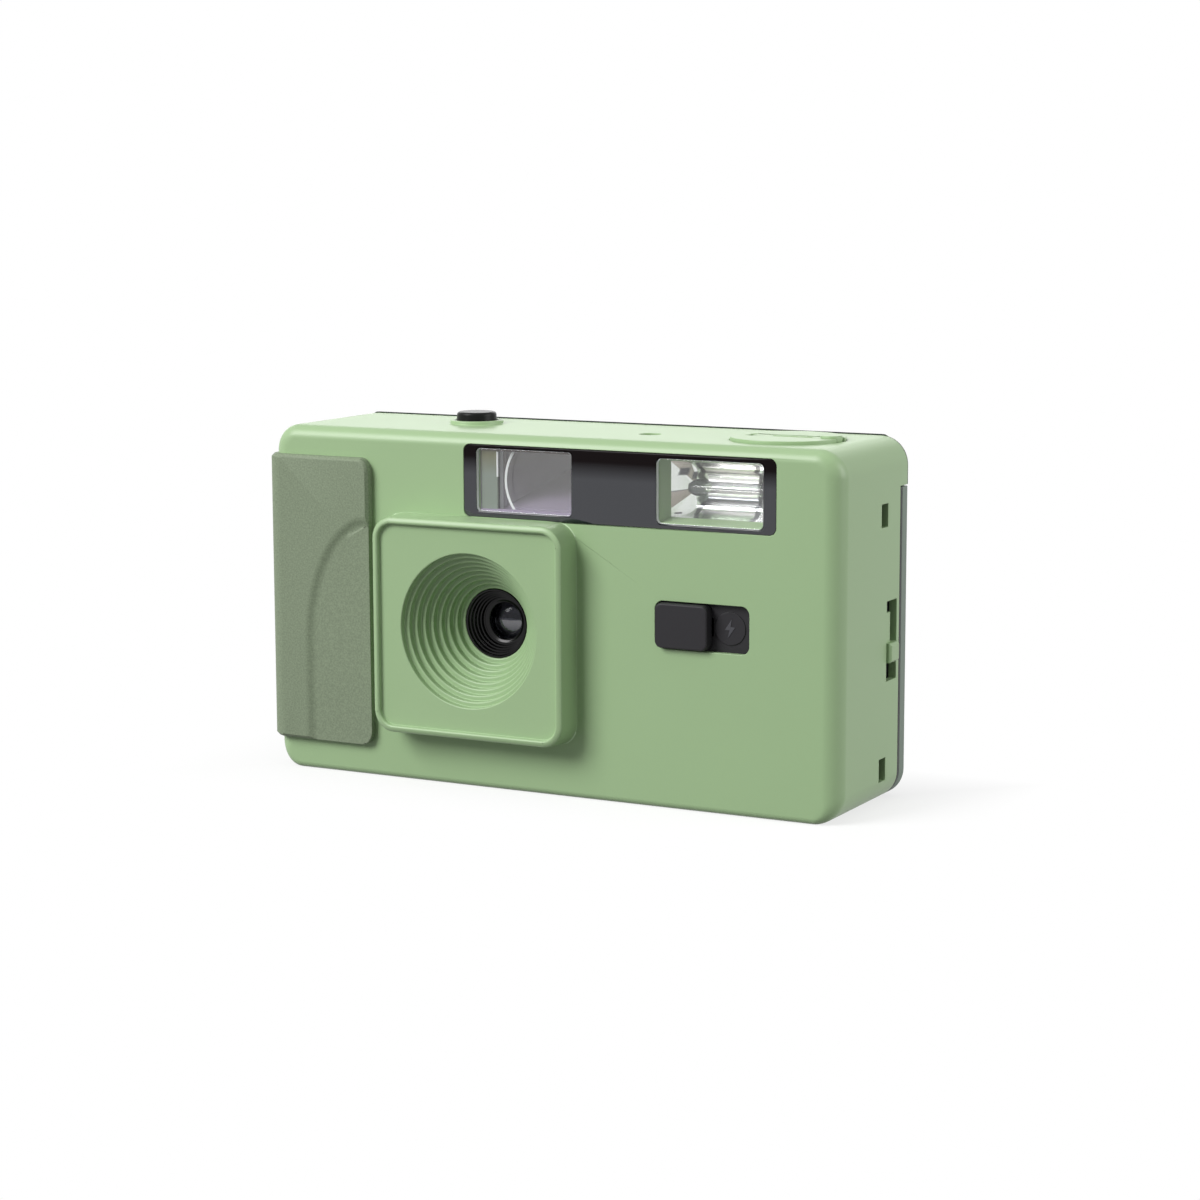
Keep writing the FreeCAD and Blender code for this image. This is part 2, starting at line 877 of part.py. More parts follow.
def switch_plate():
    plate = box(
        switch_left - 0.9,
        switch_right + 0.9,
        switch_face_y + 0.02,
        switch_plate_back,
        switch_bottom - 0.8,
        switch_top + 0.8,
    )
    mid = (switch_bottom + switch_top) / 2
    slot = box(slider_left + 0.8, slider_left + 3.2 + slider_travel, front_y, 0, mid - 1.6, mid + 1.6)
    disc = post_y(switch_right - slider_width / 2 + 0.9, mid, 2.9, switch_face_y - 0.15, switch_face_y + 0.3)
    return cut(plate.fuse(disc), slot).removeSplitter()


def flash_switch_slider():
    mid = (switch_bottom + switch_top) / 2
    half = switch_height / 2 - 0.25
    cap = rounded_block(
        slider_left,
        slider_left + slider_width,
        mid - half,
        mid + half,
        1.2,
        front_y - slider_proud,
        switch_face_y - 0.25,
    )
    stem = box(slider_left + 1.0, slider_left + 3.0, switch_face_y - 0.4, -11.4, mid - 1.4, mid + 1.4)
    hook = box(slider_left + 1.0, slider_left + 3.0, switch_plate_back + fit_gap, -11.4, mid - 2.4, mid + 2.4)
    return join(cap, stem, hook)


def lens_barrel():
    # Outside a plain tube, inside a cone down to the retaining ring of the front glass
    inner = barrel_radius - barrel_wall
    seat = glass_radius + 0.1
    retainer = glass_y - 0.6
    seat_y = glass_y + front_glass_thickness + 0.05
    profile = [
        (barrel_radius, mouth_y + 0.1),
        (barrel_radius, barrel_back_y),
        (0, barrel_back_y),
        (0, seat_y),
        (seat, seat_y),
        (seat, retainer),
        (seat + retainer_width, retainer),
        (inner, mouth_y + 0.1),
    ]
    tube = turned_y(profile, lens_x, lens_z)
    return cut(tube, rod_y(lens_x, lens_z, bore(aperture_radius + 0.85), seat_y - 1, barrel_back_y + 1))


def front_lens_element():
    disc = post_y(lens_x, lens_z, glass_radius, glass_y - 0.5, glass_y + front_glass_thickness)
    ball = Part.makeSphere(6.0, V(lens_x, glass_y - 0.5 + 6.0, lens_z))
    return disc.common(ball)


def rear_lens_element():
    radius = aperture_radius + 0.8
    front = barrel_back_y - rear_glass_thickness
    return rod_y(lens_x, lens_z, radius, front, barrel_back_y - 0.1)


def aperture_plate():
    half = barrel_radius * 0.9
    plate = box(lens_x - half, lens_x + half, aperture_y, aperture_y + 0.2, lens_z - half, lens_z + half)
    return cut(plate, post_y(lens_x, lens_z, aperture_radius, aperture_y - 1, aperture_y + 1))


def shutter_plate():
    right = lens_x + 7.2
    left = pivot_x - tail_radius - 2.3
    plate = box(left, right, shutter_plate_y, tunnel_front_y, lens_z - 7.6, lens_z + 8.2)
    plate = cut(plate, rod_y(lens_x, lens_z, bore(aperture_radius + 1.0), shutter_plate_y - 1, tunnel_front_y + 1))
    pin = rod_y(pivot_x, pivot_z, pivot_radius, blade_y - 0.5, shutter_plate_y)
    stop = rod_y(lens_x + 4.6, lens_z - 4.6, 0.7, blade_y, shutter_plate_y)
    return join(plate, pin, stop)


def shutter_blade():
    # One arm from the pivot to the disc that closes the lens, one tail for the release
    back = blade_y + blade_thickness
    disc = post_y(lens_x, lens_z, blade_radius, blade_y, back)
    eye = rod_y(pivot_x, pivot_z, pivot_radius + 1.0, blade_y, back)
    dx = lens_x - pivot_x
    dz = lens_z - pivot_z
    length = math.hypot(dx, dz)
    nx, nz = -dz / length, dx / length
    arm = outline_plate(
        [
            (pivot_x + 1.5 * nx, pivot_z + 1.5 * nz),
            (lens_x + 2.2 * nx, lens_z + 2.2 * nz),
            (lens_x - 2.2 * nx, lens_z - 2.2 * nz),
            (pivot_x - 1.5 * nx, pivot_z - 1.5 * nz),
        ],
        blade_y,
        back,
    )
    tail = box(tail_x - 0.8, pivot_x, blade_y, back, pivot_z - 0.5, tail_top_z)
    hole = rod_y(pivot_x, pivot_z, bore(pivot_radius + 0.05), blade_y - 1, back + 1)
    return cut(join(disc, eye, arm, tail), hole)


def blade_spring():
    # A fine wire from a post on the shutter plate down to the blade's pivot
    y0 = blade_y - 0.45
    y1 = y0 + 0.35
    ring = cut(
        rod_y(pivot_x, pivot_z, pivot_radius + 0.5, y0, y1),
        rod_y(pivot_x, pivot_z, bore(pivot_radius + 0.05), y0 - 1, y1 + 1),
    )
    leg = box(pivot_x + 0.9, pivot_x + 1.2, y0, y1, pivot_z, lens_z + 7.6)
    return join(ring, leg)


def release_leg():
    # It hangs from the button and ends just above the blade's tail
    leg = box(
        tail_x - release_leg_width,
        tail_x,
        blade_y - 0.9,
        shutter_plate_y - 0.02,
        tail_top_z + 0.05,
        button_flange_z,
    )
    foot = box(
        tail_x - release_leg_width,
        max(tail_x, button_x - button_radius + 0.5),
        blade_y - 0.9,
        button_y - 3.3,
        button_flange_z - 1.2,
        button_flange_z,
    )
    return join(leg, foot)


def shutter_button():
    top = body_height + button_top
    cap = post_z(button_x, button_y, button_radius, button_flange_z, top)
    reach = button_radius + 0.7
    flange = box(
        button_x - reach, button_x + reach, button_y - reach, button_y + reach, button_flange_z, button_flange_top
    )
    stem = rod_z(button_x, button_y, 1.0, spring_seat_z - 3.0, button_flange_z)
    return join(cap, flange, stem)


def coil_spring(x, y, z0, z1, radius, wire, turns):
    # One open coil of square wire, bent in short straight lengths
    lengths = 8
    half = wire
    rise = z1 - z0 - 2 * half
    steps = round(turns * lengths)
    points = []
    for index in range(steps + 1):
        angle = 2 * math.pi * index / lengths
        height = z0 + half + rise * index / steps
        points.append(V(x + radius * math.cos(angle), y + radius * math.sin(angle), height))
    path = Part.makePolygon(points)
    start = points[0]
    corners = [
        start + V(-half, 0, -half),
        start + V(half, 0, -half),
        start + V(half, 0, half),
        start + V(-half, 0, half),
    ]
    section = Part.makePolygon(corners + [corners[0]])
    return path.makePipeShell([section], True, False, 1)


def button_spring():
    return coil_spring(
        button_x,
        button_y,
        spring_seat_z + 0.02,
        button_flange_z - 0.02,
        1.9,
        spring_wire_radius,
        button_spring_turns,
    )


def film_chambers():
    # The two chambers and the floor and roof that close them
    front = inner_front_y + 0.4
    ring = post_z(cassette_x, 0, cassette_chamber_radius + chamber_wall, chamber_floor_z - 1.0, deck_top_z)
    ring = ring.common(box(cassette_x - 30, cassette_x + 30, front, film_deck_y, 0, body_height))
    back_part = box(
        cassette_x - cassette_chamber_radius - chamber_wall,
        chamber_right_x,
        0,
        film_deck_y,
        chamber_floor_z - 1.0,
        deck_top_z,
    )
    room = post_z(cassette_x, 0, cassette_chamber_radius, chamber_floor_z, deck_z)
    room = room.fuse(
        box(
            cassette_x - cassette_chamber_radius,
            cassette_x + cassette_chamber_radius,
            0,
            back_y,
            chamber_floor_z,
            deck_z,
        )
    )
    cassette = cut(ring.fuse(back_part), room)
    cassette = cut(cassette, box(cassette_x - 3.2, cassette_x + 3.2, front_y, front + 0.6, chamber_floor_z, deck_z))
    cassette = cassette.cut(rod_z(cassette_x, 0, nub_well_radius, wall, chamber_floor_z + 0.01))

    spool_box = box(
        spool_room_left - 1.0,
        spool_room_right + 1.0,
        spool_room_front - 1.0,
        film_deck_y,
        spool_floor_z - 1.2,
        deck_top_z,
    )
    spool_space = box(
        spool_room_left,
        spool_room_right,
        spool_room_front,
        back_y,
        spool_floor_z,
        deck_z,
    )
    return cassette, cut(spool_box, spool_space)


def light_tunnel():
    front = (lens_x - 7.2, lens_x + 7.2, lens_z - 7.6, lens_z + 7.6, tunnel_front_y)
    rear = (gate_left - 1, gate_right + 1, gate_low - 1, gate_high + 1, film_deck_y)
    inside_front = (lens_x - 6.0, lens_x + 6.0, lens_z - 5.0, lens_z + 5.0, tunnel_front_y - 0.01)
    inside_rear = (gate_left, gate_right, gate_low, gate_high, film_deck_y + 0.01)
    return tapered_box(front, rear), tapered_box(inside_front, inside_rear)


def film_rails():
    rails = []
    left = spool_room_right + 1.2
    right = cassette_x - cassette_chamber_radius - 1.2
    inner = ((gate_low - 1.5, gate_low - 0.3), (gate_high + 0.3, gate_high + 1.1))
    for low, high in inner:
        rails.append(box(left, right, film_deck_y - 0.2, film_plane_y, low, high))
    film_low = lens_z - film_width / 2
    film_high = lens_z + film_width / 2
    outer = ((film_low - 1.5, film_low - 0.2), (film_high + 0.2, film_high + 1.5))
    for low, high in outer:
        rails.append(box(left, right, film_deck_y - 0.2, film_plane_y + 0.3, low, high))
    return rails


def main_chassis():
    flange_front = side_back_y + 0.02
    flange = body_block(0, flange_front, flange_back_y)
    flange = cut(flange, body_block(wall + 2.6, flange_front - 1, flange_back_y + 1))
    above_notch = box(-body_width, body_width, 0, body_depth, notch_z - 0.2, 2 * body_height)
    flange = cut(flange, above_notch)
    hoop = cut(
        body_block(wall + fit_gap, film_deck_y - 1.0, flange_front + 0.1),
        body_block(wall + 2.6, film_deck_y - 2, flange_front + 1),
    )
    hoop = cut(hoop, above_notch)
    deck = box(
        spool_room_right,
        cassette_x - cassette_chamber_radius,
        film_deck_y - deck_thickness,
        film_deck_y,
        wall + fit_gap + 1.0,
        deck_top_z,
    )
    back_wall = box(
        -half_width + wall + fit_gap,
        half_width - wall - fit_gap,
        film_deck_y - deck_thickness,
        film_deck_y,
        deck_z,
        notch_z - 0.2,
    )
    top_deck = box(
        spool_room_left - 1.0,
        chamber_right_x,
        film_deck_y - 13.4,
        film_deck_y,
        deck_z,
        deck_top_z,
    )
    cassette, spool_box = film_chambers()
    tunnel, tunnel_space = light_tunnel()
    post = 2.9
    spring_post = box(
        button_x - post, button_x + post, button_y - post, button_y + post, deck_z, spring_seat_z
    )
    side_shelf = box(
        chamber_right_x - 0.5, half_width - wall - fit_gap, film_deck_y - 1.0, film_deck_y, wall + 4, notch_z - 0.2
    )
    left_shelf = box(
        -half_width + wall + fit_gap, spool_room_left, film_deck_y - 1.0, film_deck_y, wall + 4, notch_z - 0.2
    )
    low_shelf = box(
        -half_width + wall + 3, half_width - wall - 3, film_deck_y - 1.0, film_deck_y, wall + 2, spool_floor_z
    )
    chassis = join(
        flange,
        hoop,
        deck,
        back_wall,
        top_deck,
        cassette,
        spool_box,
        tunnel,
        spring_post,
        side_shelf,
        left_shelf,
        low_shelf,
        *film_rails(),
    )
    chassis = cut(chassis, tunnel_space)
    chassis = cut(
        chassis,
        box(
            cassette_x - cassette_chamber_radius,
            cassette_x + cassette_chamber_radius,
            0,
            back_y,
            chamber_floor_z,
            deck_z,
        ),
    )

    # Hinge ears, and room for the door's hinge barrel
    chassis = cut(
        chassis,
        post_z(hinge_x, hinge_y, hinge_relief, -1, notch_z),
        box(-half_width - 1, hinge_x, side_back_y, back_y, -1, notch_z),
    )
    for low in (hinge_low_z, hinge_high_z):
        ear = rod_z(hinge_x, hinge_y, hinge_radius, low, low + hinge_ear_height)
        web = box(hinge_x + fit_gap, hinge_x + 1.5, film_deck_y - 1.0, hinge_y, low, low + hinge_ear_height)
        chassis = cut(
            chassis.fuse([ear, web]),
            rod_z(hinge_x, hinge_y, bore(hinge_pin_radius + 0.05), low - 1, low + hinge_ear_height + 1),
        )

    # Film sprocket opening and shaft holes
    reach = sprocket_root_radius + tooth_height + 0.6
    chassis = cut(
        chassis,
        box(
            sprocket_x - reach,
            sprocket_x + reach,
            film_deck_y - deck_thickness - 0.5,
            film_plane_y + 1,
            sprocket_z - 2.3,
            sprocket_z + 2.3,
        ),
        rod_z(sprocket_x, sprocket_y, bore(sprocket_shaft_radius + running_gap), sprocket_z, body_height),
        rod_z(counter_x, counter_y, bore(1.0 + running_gap), deck_z - 1, body_height),
        rod_z(spool_x, spool_y, bore(spool_shaft_radius + running_gap), deck_z - 1, body_height),
        rod_z(spool_x, spool_y, bore(spool_foot_radius + running_gap), spool_floor_z - 2, spool_floor_z + 1),
        rod_z(cassette_x, 0, bore(rewind_shaft_radius + running_gap), deck_z - 1, body_height),
        rod_z(button_x, button_y, bore(1.0 + 0.3), deck_z - 1, body_height),
        box(
            tail_x - release_leg_width - 0.3,
            tail_x + 0.3,
            blade_y - 1.3,
            tunnel_front_y + 0.2,
            deck_z - 1,
            deck_top_z + 1,
        ),
    )
    lower_bearing = cut(
        box(sprocket_x - 3, sprocket_x + 3, sprocket_y - 3, film_deck_y, bearing_z, sprocket_low_z + 1.0),
        rod_z(
            sprocket_x,
            sprocket_y,
            bore(sprocket_shaft_radius + running_gap),
            sprocket_low_z,
            sprocket_low_z + 3,
        ),
    )
    chassis = chassis.fuse(lower_bearing)

    # Battery cradle
    for side in (-1, 1):
        inner = battery_x + side * cradle_x
        outer = battery_x + side * (cradle_x + 1.0)
        chassis = chassis.fuse(
            box(
                min(inner, outer),
                max(inner, outer),
                battery_y - battery_radius + 0.3,
                film_deck_y,
                wall + 0.2,
                battery_z + battery_radius + 0.3,
            )
        )
    shelf_back = box(
        battery_x - cradle_x - 1.0,
        battery_x + cradle_x + 1.0,
        battery_y + battery_radius + 0.25,
        battery_y + battery_radius + 1.25,
        wall + 0.9,
        battery_z + battery_radius + 0.3,
    )
    chassis = chassis.fuse(shelf_back)

    # Posts for the flash board
    for z in (lens_z - 5.2, lens_z + 10.8):
        chassis = chassis.fuse(
            box(
                capacitor_x - 3.5,
                capacitor_x - 1.5,
                board_y + board_thickness + 0.05,
                film_deck_y - 0.5,
                z - 1.2,
                z + 1.2,
            )
        )

    # Room for the flash funnel over the cassette chamber
    chassis = cut(
        chassis,
        box(
            flash_left - 1.2,
            flash_right + 1.2,
            front_y,
            front_y + flash_funnel_depth + fit_gap,
            flash_bottom - 0.8,
            body_height,
        ),
    )

    # Screws pass through the film deck
    for x, z, _ in screw_places():
        chassis = cut(
            chassis,
            rod_y(x, z, bore(screw_shank_radius + 0.1), film_deck_y - 5, film_plane_y + 1),
        )

    # Room for the strap pocket of the cover
    chassis = cut(
        chassis,
        box(
            -half_width,
            strap_pocket_x + 1 + fit_gap,
            strap_pocket_y - 1 - fit_gap,
            strap_pocket_back + 1 + fit_gap,
            0,
            strap_pocket_top + 1 + fit_gap,
        ),
    )

    # Slots for the door's catch, and the latch's runway
    chassis = cut(
        chassis,
        box(
            latch_inner_x - fit_gap,
            half_width - wall - fit_gap + 0.3,
            film_deck_y - 4,
            latch_rear_y + 0.1,
            latch_slot_low - 12,
            latch_slot_high + 2.2,
        ),
        box(
            latch_inner_x - 2.4,
            half_width - wall - fit_gap,
            film_deck_y - 1.2,
            flange_back_y + 1,
            latch_slot_low + 8.3,
            latch_slot_low + 14.3,
        ),
    )

    # Snap hooks behind the slots of the right side
    for low in (snap_low_z, body_height - snap_high_drop):
        hook = box(
            chamber_right_x - 0.6,
            half_width - wall - 2 * fit_gap,
            snap_slot_front - 0.6,
            snap_slot_back - 0.3,
            low + 0.3,
            low + snap_slot_height - 0.3,
        )
        nose = box(
            half_width - wall - 0.4,
            half_width - 0.9,
            snap_slot_front + 0.1,
            snap_slot_back - 1.3,
            low + 0.4,
            low + snap_slot_height - 0.4,
        )
        chassis = chassis.fuse([hook, nose])
    return chassis.removeSplitter()


def chassis_screws():
    screws = []
    for x, z, _ in screw_places():
        head = rod_y(x, z, screw_head_radius, film_deck_y + 0.02, film_deck_y + 0.8, 6)
        shank = rod_y(x, z, screw_shank_radius - 0.05, film_deck_y - screw_length, film_deck_y + 0.3)
        screws.append(join(head, shank))
    return Part.makeCompound(screws)


def take_up_spool():
    low = spool_floor_z + 0.3
    high = deck_z - 0.3
    core = rod_z(spool_x, spool_y, spool_radius, low, high, 24)
    slot = box(spool_x - 8, spool_x + 8, spool_y - 0.9, spool_y + 0.9, lens_z - 13, lens_z + 13)
    shaft = rod_z(spool_x, spool_y, spool_shaft_radius, high, wheel_z + 1.5)
    foot = rod_z(spool_x, spool_y, spool_foot_radius, spool_floor_z - 1.0, low)
    teeth = []
    for z in (lens_z - film_width / 2 + perforation_drop, lens_z + film_width / 2 - perforation_drop):
        teeth.append(box(spool_x - 0.8, spool_x + 0.8, spool_y - spool_radius - 0.7, spool_y, z - 0.9, z + 0.9))
    return cut(join(core, shaft, foot, *teeth), slot)


def toothed_disc(x, y, root, tip, teeth, z0, z1):
    # A disc with pointed ribs round its rim
    points = []
    for index in range(teeth):
        for share, radius in ((0, root), (0.5, tip)):
            angle = 2 * math.pi * (index + share) / teeth
            points.append(V(x + radius * math.cos(angle), y + radius * math.sin(angle), z0))
    return Part.Face(Part.makePolygon(points + [points[0]])).extrude(V(0, 0, z1 - z0))


def thumb_wheel():
    root = thumb_wheel_radius - 0.4
    wheel = toothed_disc(spool_x, spool_y, root, thumb_wheel_radius, thumb_wheel_ribs, wheel_z, wheel_top_z)
    return cut(wheel, rod_z(spool_x, spool_y, bore(spool_shaft_radius), wheel_z - 1, wheel_z + 1.6))


def ratchet_spring():
    # A leaf on the deck whose tip clicks past the ribs of the thumb wheel
    x0 = spool_x + thumb_wheel_radius + 0.12
    foot = box(x0, x0 + 3.2, spool_y - 5.4, spool_y - 3, deck_top_z, deck_top_z + 0.5)
    blade = box(x0, x0 + 0.5, spool_y - 5.4, spool_y - 3, deck_top_z, wheel_z + 1.8)
    tip = box(x0, x0 + 0.5, spool_y - 4.0, spool_y + 0.4, wheel_z + 0.3, wheel_z + 1.8)
    return join(foot, blade, tip)


def sprocket_wheel():
    low = sprocket_z - 1.6
    high = sprocket_z + 1.6
    hub = rod_z(sprocket_x, sprocket_y, sprocket_root_radius - 0.05, low, high, 2 * sprocket_teeth)
    shaft = rod_z(sprocket_x, sprocket_y, sprocket_shaft_radius, sprocket_low_z + 0.1, counter_z + 1.3)
    teeth = []
    root = sprocket_root_radius - 0.6
    reach = sprocket_root_radius + tooth_height
    half = tooth_thickness / 2
    for index in range(sprocket_teeth):
        tooth = tapered_box((-0.95, 0.95, -half, half, root), (-0.5, 0.5, -half * 0.65, half * 0.65, reach))
        tooth.rotate(V(0, 0, 0), V(0, 0, 1), 360 * index / sprocket_teeth)
        tooth.translate(V(sprocket_x, sprocket_y, sprocket_z))
        teeth.append(tooth)
    finger = box(
        sprocket_x - 0.4,
        sprocket_x + 0.4,
        sprocket_y,
        sprocket_y + finger_radius,
        counter_z + 0.1,
        counter_z + 1.1,
    )
    return join(hub, shaft, *teeth, finger)


def counter_dial():
    root = counter_radius - 0.3
    dial = toothed_disc(counter_x, counter_y, root, counter_radius, counter_teeth, counter_z, counter_z + 1.2)
    pin = rod_z(counter_x, counter_y, 1.0, deck_z + 0.2, counter_z + 0.1)
    collar = box(
        counter_x - 1.5, counter_x + 1.5, counter_y - 1.5, counter_y + 1.5, deck_top_z + fit_gap, counter_z + 0.1
    )
    return join(dial, pin, collar)


def counter_window():
    reach = counter_window_radius + 0.25
    return box(
        counter_window_x - reach,
        counter_window_x + reach,
        counter_window_y - reach,
        counter_window_y + reach,
        roof_z - 0.1,
        body_height - 0.95,
    )


def rewind_shaft():
    shaft = rod_z(cassette_x, 0, rewind_shaft_radius, fork_z + 3.4, disc_z)
    fork = box(cassette_x - 2.4, cassette_x + 2.4, -0.6, 0.6, fork_z, fork_z + 3.6)
    groove = cut(
        rod_z(cassette_x, 0, rewind_shaft_radius + 1, clip_z, clip_z + 0.8),
        rod_z(cassette_x, 0, rewind_shaft_radius - 0.7, clip_z - 1, clip_z + 2),
    )
    return cut(join(shaft, fork), groove)


def rewind_clip():
    ring = cut(
        rod_z(cassette_x, 0, rewind_shaft_radius + 1.4, clip_z + 0.05, clip_z + 0.75),
        rod_z(cassette_x, 0, bore(rewind_shaft_radius - 0.65), clip_z, clip_z + 1),
    )
    return cut(ring, box(cassette_x + 1.0, cassette_x + 6, -1.4, 1.4, clip_z, clip_z + 1))


def rewind_knob():
    top = disc_z + rewind_disc_thickness
    disc = post_z(cassette_x, 0, rewind_radius, disc_z, top)
    trough = box(cassette_x - 7.4, cassette_x + rewind_radius + 1, -1.75, 1.75, top - 1.05, top + 1)
    nest = rod_z(cassette_x + rewind_radius - 1.9, 0, bore(crank_knob_radius + 0.2), top - 1.05, top + 1)
    pin_bore = rod_y(crank_x, top - 0.5, bore(crank_pin_radius), -3.0, 3.0)
    return cut(disc, trough, nest, pin_bore)


def crank_pin():
    top = disc_z + rewind_disc_thickness
    return rod_y(crank_x, top - 0.5, crank_pin_radius, -2.9, 2.9)


def rewind_crank():
    top = disc_z + rewind_disc_thickness
    low = top - 0.95
    handle_x = cassette_x + rewind_radius - 1.9
    arm = box(crank_x, handle_x - 0.7, -1.55, 1.55, low, top - 0.05)
    eye = rod_y(crank_x, top - 0.5, 0.45, -1.55, 1.55)
    handle = post_z(handle_x, 0, crank_knob_radius, low, top + 0.45)
    window = box(cassette_x - 3.0, cassette_x + 4.6, -0.7, 0.7, low - 1, top + 1)
    hole = rod_y(crank_x, top - 0.5, bore(crank_pin_radius + 0.03), -3, 3)
    return cut(join(arm, eye, handle), window, hole)


def rear_top_cover():
    skin_y = back_y - rear_cover_depth
    skin = body_block(0, top_back_y + 0.02, back_y)
    plug = body_block(wall + fit_gap, skin_y, top_back_y + 0.1)
    cover = join(skin, plug)
    cover = cut(cover, box(-body_width, body_width, 0, body_depth, -5, notch_z))
    cover = cover.makeChamfer(0.3, [e for e in edges_at_y(cover, back_y) if e.BoundBox.ZMax > notch_z + 1])
    frame = box(
        finder_mid_x - eyepiece_width / 2 - 1.2,
        finder_mid_x + eyepiece_width / 2 + 1.2,
        skin_y - 1.2,
        skin_y + 0.2,
        eyepiece_z - eyepiece_height / 2 - 0.6,
        min(eyepiece_z + eyepiece_height / 2 + 0.6, roof_z - fit_gap),
    )
    lip = box(
        -half_width + wall + 5, half_width - wall - 5, skin_y - 1.4, skin_y + 0.1, notch_z, notch_z + 0.4
    )
    lip = cut(lip, post_z(spool_x, spool_y, thumb_wheel_radius + 0.6, 0, body_height))
    cover = cover.fuse([frame, lip])
    cover = cut(
        cover,
        box(
            finder_mid_x - eyepiece_width / 2,
            finder_mid_x + eyepiece_width / 2,
            skin_y - 3,
            back_y + 1,
            eyepiece_z - eyepiece_height / 2,
            eyepiece_z + eyepiece_height / 2,
        ),
        box(
            spool_x - 0.75 * thumb_wheel_radius,
            spool_x + 0.75 * thumb_wheel_radius,
            skin_y - 1,
            back_y + 1,
            wheel_z - 0.3,
            wheel_top_z + 0.3,
        ),
        rod_y(counter_x, eyepiece_z, bore(1.3), skin_y - 1, back_y + 1),
    )
    return cover.removeSplitter()


def flash_ready_lamp():
    return rod_y(counter_x, eyepiece_z, 1.25, back_y - rear_cover_depth - 2.6, back_y + 0.15)


def door_outline(inset, y0, y1):
    block = body_block(inset, y0, y1)
    return cut(block, box(-body_width, body_width, 0, body_depth, door_top_z - inset, 2 * body_height))


def back_door():
    skin = door_outline(0, door_inner_y, back_y)
    outer = [e for e in edges_at_y(skin, back_y) if e.BoundBox.XMax > -half_width + 1]
    skin = skin.makeChamfer(0.5, outer)
    rim = cut(
        door_outline(0, door_rim_y, door_inner_y + 0.1),
        door_outline(door_rim_width, door_rim_y - 1, door_inner_y + 0.2),
    )
    rim = cut(rim, box(-half_width - 1, hinge_x + hinge_relief + 0.2, 0, body_depth, -1, door_top_z + 1))
    door = skin.fuse(rim)

    # Hinge barrel on the left edge, between the two ears of the chassis
    barrel_low = hinge_low_z + hinge_ear_height + fit_gap
    barrel_high = hinge_high_z - fit_gap
    door = cut(door, box(-half_width - 1, hinge_x, 0, back_y + 1, hinge_low_z - 1.5, door_top_z + 1))
    for low in (hinge_low_z, hinge_high_z):
        high = low + hinge_ear_height + fit_gap
        door = cut(
            door,
            box(hinge_x - 1, hinge_x + hinge_relief, 0, back_y + 1, low - fit_gap, high),
        )
    door = door.fuse(rod_z(hinge_x, hinge_y, hinge_radius, barrel_low, barrel_high))
    door = cut(door, rod_z(hinge_x, hinge_y, bore(hinge_pin_radius + 0.05), barrel_low - 1, barrel_high + 1))

    # Window over the film cassette, and the catch that the latch holds
    door = cut(
        door,
        rounded_block(
            cassette_x - door_window_width / 2,
            cassette_x + door_window_width / 2,
            lens_z - door_window_height / 2,
            lens_z + door_window_height / 2,
            2.0,
            door_inner_y - 1,
            back_y + 1,
        ),
        box(
            cassette_x - door_window_width / 2 - 1,
            cassette_x + door_window_width / 2 + 1,
            door_inner_y - 1,
            back_y - 0.7,
            lens_z - door_window_height / 2 - 1,
            lens_z + door_window_height / 2 + 1,
        ),
    )
    catch = box(
        chamber_right_x - 1.0,
        half_width - wall - 3 * fit_gap,
        latch_rear_y + 0.35,
        door_inner_y + 0.2,
        latch_slot_low + 9.0,
        latch_slot_low + 13.6,
    )
    guides = []
    for x in (gate_left - 1.2, gate_right + 0.2):
        guides.append(box(x, x + 1.0, film_plane_y + 1.4, door_inner_y + 0.1, lens_z - 6, lens_z + 6))
    return join(door, catch, *guides)


def door_hinge_pin():
    return rod_z(hinge_x, hinge_y, hinge_pin_radius, hinge_low_z, hinge_high_z + hinge_ear_height)


def film_window():
    side = door_window_width / 2 + 1 - fit_gap / 2
    rise = door_window_height / 2 + 1 - fit_gap / 2
    return box(
        cassette_x - side, cassette_x + side, door_inner_y + 0.05, back_y - 0.72, lens_z - rise, lens_z + rise
    )


def pressure_plate():
    front = film_plane_y + 0.35
    return box(
        gate_left - 0.1,
        gate_right + 0.1,
        front,
        front + pressure_plate_thickness,
        gate_low - pressure_plate_margin - 1.5,
        gate_high + pressure_plate_margin,
    )


def pressure_spring():
    # A bowed leaf between the door and the pressure plate
    low_y = film_plane_y + 0.35 + pressure_plate_thickness + 0.05
    high_y = door_inner_y - 0.05
    bow = high_y - low_y - 0.3
    left = lens_x - 11
    right = lens_x + 11
    inner = Part.Arc(V(left, low_y, lens_z), V(lens_x, low_y + bow, lens_z), V(right, low_y, lens_z)).toShape()
    outer = Part.Arc(
        V(left, low_y + 0.3, lens_z), V(lens_x, low_y + bow + 0.3, lens_z), V(right, low_y + 0.3, lens_z)
    ).toShape()
    face = Part.Face(
        Part.Wire(
            [
                inner,
                Part.makeLine(V(right, low_y, lens_z), V(right, low_y + 0.3, lens_z)),
                outer,
                Part.makeLine(V(left, low_y + 0.3, lens_z), V(left, low_y, lens_z)),
            ]
        )
    )
    leaf = face.extrude(V(0, 0, 8))
    leaf.translate(V(0, 0, -4))
    return leaf


